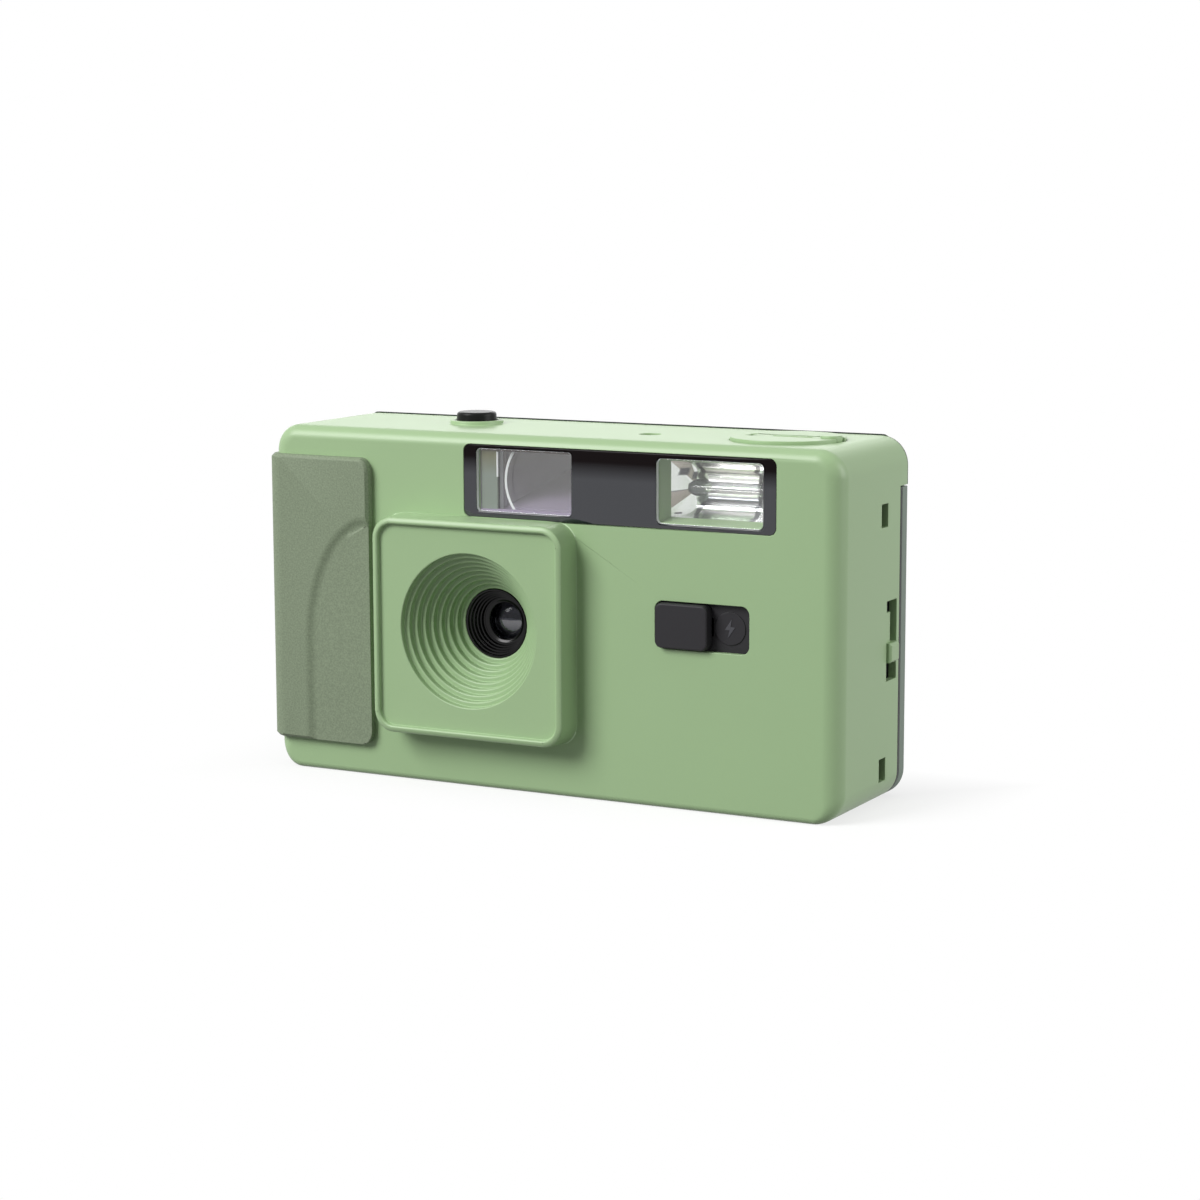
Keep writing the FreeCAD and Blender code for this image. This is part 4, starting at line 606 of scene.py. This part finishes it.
def turned(name, profile, centre, axis, steps=96):
    # Spins an outline of (radius, height) about an axis through the centre
    piece = addPrimitive("circle", name, vertices=len(profile), radius=0.001)
    mesh = editMesh(piece, "VERT")
    mesh.verts.ensure_lookup_table()
    for vert, (radius, height) in zip(mesh.verts, profile):
        vert.co = (Vector(centre) + Vector((1, 0, 0)) * radius + Vector(axis) * height) * mm
    closing = [edge for edge in mesh.edges if abs(edge.verts[0].index - edge.verts[1].index) != 1]
    bmesh.ops.delete(mesh, geom=closing, context="EDGES")
    bmesh.update_edit_mesh(piece.data)
    bpy.ops.mesh.select_all(action="SELECT")
    bpy.ops.mesh.spin(steps=steps, dupli=False, angle=2 * math.pi, center=Vector(centre) * mm, axis=axis)
    bpy.ops.mesh.select_all(action="SELECT")
    bpy.ops.mesh.remove_doubles(threshold=0.000003)
    bpy.ops.mesh.normals_make_consistent(inside=False)
    leaveEdit()
    return piece


def cutAway(piece, place, normal):
    # Cuts off what lies on the normal's side of a plane, and closes the cut
    editMesh(piece)
    bpy.ops.mesh.select_all(action="SELECT")
    bpy.ops.mesh.bisect(plane_co=Vector(place) * mm, plane_no=normal, use_fill=True, clear_outer=True)
    leaveEdit()


def giveFaces(piece, second, test):
    # A second material on the faces that pass the test
    piece.data.materials.append(materials[second])
    for face in piece.data.polygons:
        if test(face):
            face.material_index = len(piece.data.materials) - 1


def coil(name, x, y, low, high, radius, wire, turns):
    # A round-wire spring with closed ends, drawn as a curve and made a mesh
    data = bpy.data.curves.new(name, "CURVE")
    data.dimensions = "3D"
    data.bevel_depth = wire * mm
    data.bevel_resolution = 2
    data.use_fill_caps = True
    spline = data.splines.new("POLY")
    perTurn = 28
    total = turns * perTurn
    spline.points.add(total)
    for index in range(total + 1):
        angle = 2 * math.pi * index / perTurn
        share = index / total
        height = low + wire + (high - low - 2 * wire) * (3 * share**2 - 2 * share**3)
        across = (x + radius * math.cos(angle)) * mm
        spline.points[index].co = (across, (y + radius * math.sin(angle)) * mm, height * mm, 1.0)
    piece = bpy.data.objects.new(name, data)
    bpy.context.scene.collection.objects.link(piece)
    workOn(piece)
    bpy.ops.object.convert(target="MESH")
    bpy.ops.object.shade_smooth()
    return piece


nodeBody = {}
for bodyName, members in frame["record"]["behaviour"]["bodies"].items():
    for member in members:
        nodeBody[member] = bodyName
pieceOf = {}


def dressNode(piece, node, material):
    # The piece takes the node's place, on its body and in its slot
    pieceOf[node] = piece
    if not piece.data.materials:
        piece.data.materials.append(materials[material])
    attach(piece, nodeBody[node])
    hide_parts(node)


# Pieces whose CAD shape is right: new name, material, edge rounding in mm
finished = {
    "viewfinder_frame": ("finderTunnel", "tunnelMauve", 0.10),
    "aperture_plate": ("aperturePlate", "shutterBlack", 0.02),
    "shutter_plate": ("shutterPlate", "shutterBlack", 0.05),
    "shutter_blade": ("shutterBlade", "shutterBlack", 0.05),
    "blade_spring": ("bladeSpring", "springSteel", 0.04),
    "release_leg": ("releaseLeg", "satinBlack", 0.08),
    "main_chassis": ("chassis", "satinBlack", 0.06),
    "chassis_screws": ("chassisScrews", "springSteel", 0.10),
    "take_up_spool": ("takeUpSpool", "satinBlack", 0.10),
    "thumb_wheel": ("thumbWheel", "satinBlack", 0.10),
    "ratchet_spring": ("ratchetSpring", "springSteel", 0.05),
    "sprocket_wheel": ("filmSprocket", "satinBlack", 0.05),
    "counter_dial": ("counterDial", "dialWhite", 0.05),
    "counter_window": ("counterPane", "clearPane", 0.05),
    "rewind_shaft": ("rewindShaft", "satinBlack", 0.08),
    "rewind_clip": ("rewindClip", "springSteel", 0.05),
    "rewind_knob": ("rewindDisc", "coverGreen", 0.16),
    "rewind_crank": ("rewindCrank", "coverGreen", 0.12),
    "crank_pin": ("crankPin", "springSteel", 0.05),
    "rear_top_cover": ("rearTopCover", "backGrey", 0.10),
    "back_door": ("backDoor", "backGrey", 0.10),
    "door_hinge_pin": ("hingePin", "springSteel", 0.08),
    "film_window": ("filmWindow", "filmPane", 0.06),
    "pressure_plate": ("pressurePlate", "shutterBlack", 0.10),
    "pressure_spring": ("pressureLeaf", "springSteel", 0.04),
    "door_latch": ("doorLatch", "coverGreen", 0.12),
    "latch_spring": ("latchSpring", "springSteel", 0.04),
    "battery_door": ("batteryDoor", "satinBlack", 0.10),
    "battery_contact_left": ("contactLeft", "springSteel", 0.06),
    "battery_contact_right": ("contactRight", "springSteel", 0.06),
    "rewind_release_button": ("releaseButton", "satinBlack", 0.12),
    "flash_board": ("flashBoard", "boardGreen", 0.05),
    "flash_capacitor": ("flashCapacitor", "sleeveBlack", 0.30),
    "trigger_coil": ("triggerCoil", "coilCopper", 0.08),
    "flash_ready_lamp": ("readyLamp", "lampAmber", 0.20),
    "flash_tube": ("flashTube", "tubeGlass", 0.15),
    "viewfinder_rear_lens": ("finderRearLens", "lensGlass", 0.04),
    "rear_lens_element": ("rearLens", "lensGlass", 0.03),
}
for node, (name, material, width) in finished.items():
    piece = copyOf(node, name)
    softenEdges(piece, width)
    smoothOut(piece)
    dressNode(piece, node, material)

# The rear cover's top stands a little proud and its upward- and forward-facing faces are coloured dark, and the
# latch's part inside the slot is black, painted shade in the slot
rearTop = {"from": 63.9, "step": 0.22}
latch = {"inside": 55.45}
pickVerts(pieceOf["rear_top_cover"], lambda co: co.z > rearTop["from"])
bpy.ops.transform.translate(value=(0, 0, rearTop["step"] * mm))
leaveEdit()
giveFaces(pieceOf["rear_top_cover"], "rearTopDark", lambda face: face.normal.z > 0.35 or face.normal.y < -0.5)
# the latch's part inside the cover is black, painted shade in its slot
giveFaces(pieceOf["door_latch"], "satinBlack", lambda face: face.center.x < latch["inside"] * mm)
print("plain pieces finished")

# Front cover: the recess is turned again with soft lips, and its edges are rounded as moulded
cover = {
    "axis": (-12.75, 29.2),
    "radius": 13.85,
    "face": -19.35,
    "tip": -20.25,
    "steps": 8,
    "inward": 0.935,
    "deeper": 1.25,
    "mouthBack": -7.75,
    "lip": 0.24,
    "groove": 0.12,
    "rim": 0.42,
    "front": -14.8,
    "housing": (-32.1, 6.5, 9.8, 48.8),
    "clearOfRecess": 18.0,
    "foot": 0.16,
    "edge": 0.10,
    "collar": (-23.6, 3.0, 4.9, 64.7),
    "lipEdge": 0.25,
    "finderBox": ((-14.0, -13.9, 49.8), (6.3, -13.25, 61.8)),
    "blank": ((-12.9, -13.85, 50.6), (-9.5, -13.3, 61.1)),
    "blankEdge": 0.12,
    "glint": ((-9.72, -13.89, 56.4), (-9.42, -13.4, 60.9)),
    "glintEdge": 0.05,
}


def recessOutline():
    # Radius and depth of each ring of the recess, from its lip inwards
    radius, y = cover["radius"], cover["face"]
    lip, groove = cover["lip"], cover["groove"]
    rings = []
    for step in range(cover["steps"] + 1):
        rings.append((radius + lip, y))
        for angle in (30, 60):
            turn = math.radians(angle)
            rings.append((radius + lip * (1 - math.sin(turn)), y + lip * (1 - math.cos(turn))))
        rings.append((radius, y + lip))
        if step == cover["steps"]:
            rings.append((radius, cover["mouthBack"] - 0.03))
            break
        y += cover["deeper"]
        rings.append((radius, y - groove))
        rings.append((radius - groove * 0.3, y - groove * 0.3))
        rings.append((radius - groove, y))
        radius -= cover["inward"]
    return rings


def fromAxis(co):
    return math.hypot(co.x - cover["axis"][0], co.z - cover["axis"][1])


def onRecess(co):
    step = (cover["radius"] - fromAxis(co)) / cover["inward"]
    whole = round(step)
    if not 0 <= whole <= cover["steps"] or abs(step - whole) > 0.03:
        return False
    near = cover["face"] + whole * cover["deeper"]
    far = near + cover["deeper"] if whole < cover["steps"] else cover["mouthBack"]
    return abs(co.y - near) < 0.02 or abs(co.y - far) < 0.02


def makeCover():
    piece = copyOf("front_cover", "coverShell")
    pickFaces(piece, lambda face: all(onRecess(vert.co / mm) for vert in face.verts))
    bpy.ops.mesh.delete(type="FACE")
    leaveEdit()

    def onMouth(co):
        return abs(fromAxis(co) - cover["radius"]) < 0.03 and abs(co.y - cover["face"]) < 0.02

    pickEdges(piece, lambda a, b: onMouth(a) and onMouth(b))
    bpy.ops.mesh.subdivide(number_cuts=1)
    mesh = bmesh.from_edit_mesh(piece.data)
    for vert in mesh.verts:
        if vert.select:
            grow = cover["radius"] / fromAxis(vert.co / mm)
            for index, middle in ((0, cover["axis"][0] * mm), (2, cover["axis"][1] * mm)):
                vert.co[index] = middle + (vert.co[index] - middle) * grow
    bmesh.update_edit_mesh(piece.data)
    rings = recessOutline()
    x, z = (value * mm for value in cover["axis"])
    share = rings[0][0] / cover["radius"]
    bpy.ops.transform.resize(value=(share, 1, share), center_override=(x, cover["face"] * mm, z))
    for (before, yBefore), (radius, y) in zip(rings, rings[1:]):
        bpy.ops.mesh.extrude_region_move(TRANSFORM_OT_translate={"value": (0, (y - yBefore) * mm, 0)})
        share = radius / before
        bpy.ops.transform.resize(value=(share, 1, share), center_override=(x, y * mm, z))
    mesh = bmesh.from_edit_mesh(piece.data)
    last = rings[-1][0]

    def onBack(co):
        return abs(fromAxis(co) - last) < 0.03 and abs(co.y - cover["mouthBack"]) < 0.02

    for edge in mesh.edges:
        if edge.is_boundary and all(onBack(vert.co / mm) for vert in edge.verts):
            edge.select_set(True)
    bmesh.update_edit_mesh(piece.data)
    bpy.ops.mesh.bridge_edge_loops()
    leaveEdit()
    # the rim's two edges
    tip = cover["tip"]
    pickEdges(piece, lambda a, b: abs(a.y - tip) < 0.02 and abs(b.y - tip) < 0.02, 40)
    roundPicked(cover["rim"], 4)
    # the foot of the housing, whose slope is drawn lighter as a painted highlight
    left, right, low, high = cover["housing"]

    def onFoot(co, slack=0.02):
        near = left - 0.1 < co.x < right + 0.1 and low - 0.1 < co.z < high + 0.1
        return near and abs(co.y - cover["front"]) < slack and fromAxis(co) > cover["clearOfRecess"]

    pickEdges(piece, lambda a, b: onFoot(a) and onFoot(b), 40)
    roundPicked(cover["foot"], 1)
    # the button's collar
    x, y, radius, top = cover["collar"]

    def onCollar(co):
        return math.hypot(co.x - x, co.y - y) < radius + 0.05 and abs(co.z - top) < 0.02

    pickEdges(piece, lambda a, b: onCollar(a) and onCollar(b), 40)
    roundPicked(cover["lipEdge"], 3)
    softenEdges(piece, cover["edge"], 2, 42)
    piece.data.materials.append(materials["coverGreen"])

    def behindFinder(face):
        middle = face.center / mm
        return all(a < value < b for a, value, b in zip(cover["finderBox"][0], middle, cover["finderBox"][1]))

    def onSlope(face):
        return 0.3 < abs(face.normal.y) < 0.95 and onFoot(face.center / mm, 0.25)

    # the cover's faces behind the finder's pane take the tunnel's painted reflection
    giveFaces(piece, "tunnelMauve", behindFinder)
    # the housing's foot slope takes the painted highlight
    giveFaces(piece, "paintedFootHighlight", onSlope)
    # a green blank, and a near-white block at the left of the finder's pane as a painted highlight (glint)
    parts = []
    for key, name, material in (("blank", "finderBlank", "blankGreen"), ("glint", "finderGlint", "paneEdge")):
        part = addBlock(name, *cover[key])
        softenEdges(part, cover[key + "Edge"])
        part.data.materials.append(materials[material])
        parts.append(part)
    workOn(piece)
    for part in parts:
        part.select_set(True)
    bpy.ops.object.join()
    smoothOut(piece, 40)
    dressNode(piece, "front_cover", "coverGreen")


makeCover()
print("cover ready")

# Grip: its rim rounded, and the carved arch given a soft slope
grip = {
    "centre": (-35.2, 24.1),
    "radii": (13.0, 23.0),
    "front": -16.7,
    "carving": 0.55,
    "slope": 0.65,
    "soft": 0.5,
    "edge": 0.10,
    "sides": ((-1, -50, 0.86), (1, -40, 0.79)),
}


def makeGrip():
    piece = copyOf("hand_grip", "handGrip")
    x, z = grip["centre"]
    wide, tall = grip["radii"]

    def onArch(co, y, upper, shift=0.0):
        if abs(co.y - y) > 0.05 or (co.z >= z) != upper:
            return False
        if not upper:
            return abs(co.x - (x - wide - shift)) < 0.1
        return abs(math.hypot((co.x - x) / (wide + shift), (co.z - z) / (tall + shift)) - 1) < 0.012

    levels = ((grip["front"], 1), (grip["front"] + grip["carving"], -1))
    for y, way in levels:
        across = 1 + way * grip["slope"] / wide
        up = 1 + way * grip["slope"] / tall
        for upper in (True, False):
            pickVerts(piece, lambda co: onArch(co, y, upper))
            bpy.ops.transform.resize(
                value=(across, 1, up if upper else 1), center_override=(x * mm, y * mm, z * mm)
            )
            leaveEdit()
    for y, way in levels:
        shift = way * grip["slope"]
        near = lambda co: onArch(co, y, True, shift) or onArch(co, y, False, shift)
        pickEdges(piece, lambda a, b: near(a) and near(b), 10)
        roundPicked(grip["soft"], 4)
    # each side is drawn in from a line, as far as the photograph shows it
    for way, line, share in grip["sides"]:
        pickVerts(piece, lambda co: way * (co.x - line) > 0)
        bpy.ops.transform.resize(value=(share, 1, 1), center_override=(line * mm, 0, 0))
        leaveEdit()
    softenEdges(piece, grip["edge"], 2, 45)
    smoothOut(piece, 60)
    dressNode(piece, "hand_grip", "gripGrey")


makeGrip()

# Front panel and its two panes
windows = {"finderCorner": 0.8, "flashCorner": 1.0, "edge": 0.12, "paneEdge": 0.09}


def makePanel():
    panel = copyOf("window_panel", "windowPanel")
    for node, name, corner in (
        ("viewfinder_window", "finderPane", windows["finderCorner"]),
        ("flash_window", "flashPane", windows["flashCorner"]),
    ):
        lo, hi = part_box(node)
        sides = (lo[0] / mm, hi[0] / mm)
        pickEdges(panel, lambda a, b: upright(a, b, sides[0], 0.1) or upright(a, b, sides[1], 0.1))
        roundPicked(corner, 5)
        pane = copyOf(node, name)
        pickEdges(pane, lambda a, b: upright(a, b, sides[0]) or upright(a, b, sides[1]))
        roundPicked(corner, 5)
        softenEdges(pane, windows["paneEdge"], 2, 40)
        pane.data.materials.append(materials["clearPane"])
        # the panes' edges are painted near-white, a painted highlight
        giveFaces(pane, "paneEdge", lambda face: abs(face.normal.y) < 0.9)
        smoothOut(pane)
        dressNode(pane, node, "clearPane")
    softenEdges(panel, windows["edge"], 2, 40)
    smoothOut(panel)
    dressNode(panel, "window_panel", "panelBlack")


makePanel()

# Finder front lens: a clear block whose front is dished in a circle, its edges and the ring round the dish painted
# near-white as a painted highlight
finder = {
    "centre": (0.55, 55.85),
    "dish": 8.6,
    "sphere": 34.0,
    "ring": 0.42,
    "reach": 13.0,
    "front": -13.18,
    "back": -11.92,
    "left": -9.45,
    "right": 5.85,
    "low": 50.4,
    "high": 61.3,
}


def makeFinderLens():
    reach, sphere = finder["dish"], finder["sphere"]
    depth = finder["back"] - finder["front"]
    sag = sphere - math.sqrt(sphere**2 - reach**2)
    outline = [(0.0, sag)]
    for step in range(1, 9):
        radius = reach * step / 8
        outline.append((radius, sag - (sphere - math.sqrt(sphere**2 - radius**2)) + 0.12))
    ring = finder["ring"]
    outline += [(reach + ring, 0.0), (finder["reach"], 0.0), (finder["reach"], depth), (0.0, depth)]
    x, z = finder["centre"]
    piece = turned("finderFrontLens", outline, (x, finder["front"], z), (0, 1, 0), 72)
    cutAway(piece, (finder["left"], 0, 0), (-1, 0, 0))
    cutAway(piece, (finder["right"], 0, 0), (1, 0, 0))
    cutAway(piece, (0, 0, finder["low"]), (0, 0, -1))
    cutAway(piece, (0, 0, finder["high"]), (0, 0, 1))
    piece.data.materials.append(materials["lensGlass"])

    def isEdge(face):
        middle = face.center / mm
        away = math.hypot(middle.x - x, middle.z - z)
        onRing = abs(away - reach - ring / 2) < ring * 0.45 and middle.y < finder["front"] + 0.3
        return onRing or abs(face.normal.y) < 0.5

    giveFaces(piece, "paneEdge", isEdge)
    smoothOut(piece, 30)
    dressNode(piece, "viewfinder_front_lens", "lensGlass")


makeFinderLens()

# Lens mouth, its retaining ring and the front glass
lens = {
    "axis": (-12.75, 0.0, 29.2),
    "mouth": -9.35,
    "glass": -5.35,
    "back": -2.75,
    "outer": 6.3,
    "rings": 5,
    "sphere": 6.0,
}


def makeLens():
    mouth, glass, back = lens["mouth"], lens["glass"], lens["back"]
    seatLow = glass + 1.45
    outline = [(2.4, seatLow), (2.4, back), (lens["outer"], back), (lens["outer"], mouth + 0.12)]
    outline += [(lens["outer"] - 0.1, mouth + 0.04), (5.98, mouth + 0.04), (5.9, mouth + 0.12)]
    top, low = 5.9, 4.1
    depth = glass - 0.75 - (mouth + 0.12)
    for ring in range(lens["rings"]):
        share = (ring + 1) / lens["rings"]
        radius = top + (low - top) * share
        before = top + (low - top) * (share - 1 / lens["rings"])
        height = mouth + 0.12 + depth * share
        outline += [(before, height - 0.28), (before - 0.12, height - 0.1)]
        outline += [(radius + 0.03, height - 0.06), (radius, height)]
    outline += [(4.0, glass - 0.75), (3.9, glass - 0.72), (3.6, glass - 0.52), (3.45, glass - 0.50)]
    outline += [(3.36, glass - 0.42), (3.35, seatLow), (2.4, seatLow)]
    piece = turned("lensMouth", outline, lens["axis"], (0, 1, 0), 96)
    smoothOut(piece, 30)
    dressNode(piece, "lens_barrel", "barrelBlack")
    glassOutline = [(0.0, glass - 0.5)]
    sphere = lens["sphere"]
    for step in range(1, 13):
        radius = 3.2 * step / 12
        glassOutline.append((radius, glass - 0.5 + sphere - math.sqrt(sphere**2 - radius**2)))
    glassOutline += [(3.25, glass + 0.5), (3.25, glass + 1.35), (3.15, glass + 1.4), (0.0, glass + 1.4)]
    dome = turned("frontLens", glassOutline, lens["axis"], (0, 1, 0), 64)
    smoothOut(dome, 40)
    dressNode(dome, "front_lens_element", "frontGlass")


makeLens()

# Shutter button: slightly narrower at its top, on a flange and a stem
button = {
    "x": -23.6,
    "y": 3.0,
    "top": 66.2,
    "radius": 3.83,
    "taper": 0.2,
    "edge": 0.55,
    "stem": 1.0,
    "flange": 4.5,
    "under": 61.2,
    "over": 62.3,
}


def makeButton():
    top, radius = button["top"], button["radius"]
    low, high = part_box("shutter_button")
    stem, flange, under, over = button["stem"], button["flange"], button["under"], button["over"]
    outline = [(0.0, low[2] / mm), (stem, low[2] / mm), (stem, under), (flange, under), (flange, over), (radius, over)]
    edge = button["edge"]
    narrow = radius - button["taper"]
    for step in range(7):
        angle = math.pi / 2 * step / 6
        outline.append((narrow - edge + edge * math.cos(angle), top - edge + edge * math.sin(angle)))
    outline.append((0.0, top))
    piece = turned("buttonCap", outline, (button["x"], button["y"], 0), (0, 0, 1), 72)
    smoothOut(piece, 35)
    dressNode(piece, "shutter_button", "buttonBlack")


makeButton()

# Switch: recessed plate with a plain bolt sign on its disc, and the sliding cap
switch = {
    "disc": (36.1, 32.475),
    "face": -13.72,
    "height": 0.16,
    "bolt": [(0.35, 1.7), (-1.0, -0.25), (-0.1, -0.25), (-0.45, -1.7), (1.0, 0.3), (0.1, 0.3)],
    "cap": 0.35,
}


def makeSwitch():
    plate = copyOf("switch_plate", "switchPlate")
    softenEdges(plate, 0.07)
    x, z = switch["disc"]
    sign = addPrimitive("circle", "boltSign", vertices=len(switch["bolt"]), radius=0.001, fill_type="NGON")
    mesh = editMesh(sign, "VERT")
    for vert, (across, up) in zip(mesh.verts, switch["bolt"]):
        vert.co = Vector((x + across, switch["face"] + 0.1, z + up)) * mm
    bmesh.update_edit_mesh(sign.data)
    bpy.ops.mesh.select_all(action="SELECT")
    bpy.ops.mesh.extrude_region_move(TRANSFORM_OT_translate={"value": (0, -switch["height"] * mm, 0)})
    leaveEdit()
    turnOutwards(sign)
    softenEdges(sign, 0.03)
    plate.data.materials.append(materials["capBlack"])
    # the sign is lighter than the plate, a painted highlight on its relief
    sign.data.materials.append(materials["signHighlightGrey"])
    workOn(plate)
    sign.select_set(True)
    bpy.ops.object.join()
    smoothOut(plate)
    dressNode(plate, "switch_plate", "capBlack")
    cap = copyOf("flash_switch_slider", "switchSlider")
    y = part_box("flash_switch_slider")[0][1] / mm
    pickEdges(cap, lambda a, b: abs(a.y - y) < 0.02 and abs(b.y - y) < 0.02, 40)
    roundPicked(switch["cap"], 4)
    softenEdges(cap, 0.06)
    smoothOut(cap)
    dressNode(cap, "flash_switch_slider", "capBlack")


makeSwitch()

# Flash reflector: a fluted trough whose ends are cut by flat bright facets
flash = {
    "left": 22.95,
    "right": 42.2,
    "low": 50.45,
    "high": 60.75,
    "front": -10.45,
    "depth": 5.6,
    "flutes": 5,
    "flute": 0.62,
    "end": 5.2,
    "fold": (3.1, -6.85),
    "skin": 0.25,
}


def makeFlash():
    left, right, low, high = (flash[key] for key in ("left", "right", "low", "high"))
    middle, half = (low + high) / 2, (high - low) / 2
    outline = [(flash["front"], low)]
    perFlute = 6
    total = flash["flutes"] * perFlute
    for index in range(total + 1):
        share = -1 + 2 * index / total
        bow = math.sin(math.pi * (index % perFlute) / perFlute) * flash["flute"]
        deep = flash["depth"] * (0.2 + 0.8 * (1 - share**2)) + bow * 0.8
        outline.append((flash["front"] + deep - 0.3, middle + share * (half + 0.15 * bow)))
    outline.append((flash["front"], high))
    piece = addPrimitive("circle", "flashReflector", vertices=len(outline), radius=0.001, fill_type="NGON")
    mesh = editMesh(piece, "VERT")
    for vert, (y, z) in zip(mesh.verts, outline):
        vert.co = Vector((left, y, z)) * mm
    bmesh.update_edit_mesh(piece.data)
    bpy.ops.mesh.select_all(action="SELECT")
    bpy.ops.mesh.extrude_region_move(TRANSFORM_OT_translate={"value": ((right - left) * mm, 0, 0)})
    leaveEdit()
    turnOutwards(piece)
    for edge, way in ((left, 1), (right, -1)):
        # each end is cut on a slope, and its wall folded towards the tube
        slope = Vector((-way, flash["end"] / flash["depth"], 0)).normalized()
        cutAway(piece, (edge, flash["front"], middle), slope)
        pickFaces(piece, lambda face: face.normal.dot(slope) > 0.99)
        bpy.ops.mesh.poke()
        mesh = bmesh.from_edit_mesh(piece.data)
        for vert in mesh.verts:
            if vert.select and len(vert.link_faces) > 8:
                vert.co = Vector((edge + way * flash["fold"][0], flash["fold"][1], middle)) * mm
        bmesh.update_edit_mesh(piece.data)
        leaveEdit()

    def isMouth(face):
        return abs(face.calc_center_median().y / mm - flash["front"]) < 0.02 and abs(face.normal.y) > 0.9

    pickFaces(piece, isMouth)
    bpy.ops.mesh.delete(type="FACE")
    bpy.ops.mesh.select_all(action="SELECT")
    bpy.ops.mesh.flip_normals()
    leaveEdit()
    solid = piece.modifiers.new("skin", "SOLIDIFY")
    solid.thickness = flash["skin"] * mm
    solid.offset = -1
    applyModifiers(piece)
    smoothOut(piece, 24)
    for face in piece.data.polygons:
        face.use_smooth = abs(face.normal.x) < 0.4
    dressNode(piece, "flash_reflector", "reflectorChrome")


makeFlash()

# Wire springs: name, place across, low and high end, radius, wire radius and turns
coils = {
    "button_spring": ("buttonSpring", -23.6, 3.0, 56.22, 61.18, 1.9, 0.22, 6),
    "release_spring": ("releaseSpring", 19.5, 4.652, 2.52, 6.98, 1.75, 0.22, 5),
}
for node, settings in coils.items():
    dressNode(coil(*settings), node, "springSteel")


def squashSprings():
    # For each spring, works out its axis, its fixed end and the share it would keep as its joint is pressed, and gives
    # it a mesh of its own; nothing here shortens it
    for joint in frame["joints"]:
        for entry in joint.get("deforming_nodes") or []:
            way = entry["mode"][-1]
            index = "xyz".index(way)
            low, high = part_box(entry["node"])
            fixed = entry["fixed_end_" + way + "_m"]
            length = max(abs(low[index] - fixed), abs(high[index] - fixed))
            axis, anchor = [0, 0, 0], list(low)
            axis[index], anchor[index] = 1, fixed
            keep = 0.985 - joint["range_m"][1] / length
            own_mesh(pieceOf[entry["node"]])


squashSprings()

# Battery: a cell lying along the base
cell = {"y": -7.0, "z": 7.35, "radius": 5.2, "half": 22.25}


def makeCell():
    r, half = cell["radius"], cell["half"]
    outline = [(0.0, -half), (r - 1.0, -half), (r - 0.5, -half + 0.1), (r - 0.1, -half + 0.35), (r, -half + 0.8)]
    outline += [(r, half - 2.0), (r - 0.3, half - 1.6), (r - 1.0, half - 1.25), (1.95, half - 1.2)]
    outline += [(1.9, half - 0.2), (1.7, half), (0.0, half)]
    piece = turned("cell", outline, (0, 0, 0), (0, 0, 1), 64)
    turn = Matrix.Rotation(math.radians(90), 4, "Y")
    piece.data.transform(Matrix.Translation(Vector((0, cell["y"], cell["z"])) * mm) @ turn)
    smoothOut(piece, 35)
    dressNode(piece, "battery", "cellSleeve")


makeCell()
print("camera pieces ready")


def seenDirectly(path):
    # 1 for what the lens sees itself, in a mirror or through glass
    outputs = path.socket.node.outputs
    rays = [Val(path.tree, outputs["Is " + kind + " Ray"]) for kind in ("Camera", "Glossy", "Transmission")]
    return (rays[0] + rays[1] + rays[2]).clamp()


def addFloor():
    floor = addPrimitive("plane", "floor", size=room["floorSize"], location=(0, 0, 0))
    material, shader, place = newMaterial("floorWhite")
    tree = material.node_tree
    tree.nodes.remove(shader)
    path = place.node("ShaderNodeLightPath")
    low, seen = room["bounce"], room["seen"]
    tone = mixColour(seenDirectly(path), (low, low, low, 1), (seen, seen, seen, 1))
    diffuse = place.node("ShaderNodeBsdfDiffuse", {"Color": tone})
    glow = place.node("ShaderNodeEmission", {"Color": (1, 1, 1, 1), "Strength": 1.0})
    # white all over, with the shadow kept close round the body
    x, y, z = place.parts()
    away = (x.size() - room["footprint"][0]).larger(y.size() - room["footprint"][1])
    white = room["shadowNear"] + away.rise(-2, room["shadowReach"]) * (1 - room["shadowNear"])
    mix = place.node("ShaderNodeMixShader", {0: seenDirectly(path) * white, 1: diffuse, 2: glow})
    # clear from below, so that the base can be looked at
    below = Val(tree, tree.nodes.new("ShaderNodeNewGeometry").outputs["Backfacing"])
    clear = place.node("ShaderNodeBsdfTransparent", {"Color": (1, 1, 1, 1)})
    mix = place.node("ShaderNodeMixShader", {0: below, 1: mix, 2: clear})
    tree.links.new(mix.socket, tree.nodes["Material Output"].inputs["Surface"])
    floor.data.materials.append(material)


def addWorld():
    world = bpy.data.worlds.new("studio")
    bpy.context.scene.world = world
    world.use_nodes = True
    tree = world.node_tree
    tree.nodes.clear()
    start = Val(tree, None)
    path = start.node("ShaderNodeLightPath")
    strength = seenDirectly(path) * (1.0 - room["ambient"]) + room["ambient"]
    background = start.node("ShaderNodeBackground", {"Color": (1, 1, 1, 1), "Strength": strength})
    out = tree.nodes.new("ShaderNodeOutputWorld")
    tree.links.new(background.socket, out.inputs["Surface"])


addCamera()
addLamps()
addFloor()
addWorld()
bpy.context.scene.view_settings.view_transform = "Standard"
print("room ready")
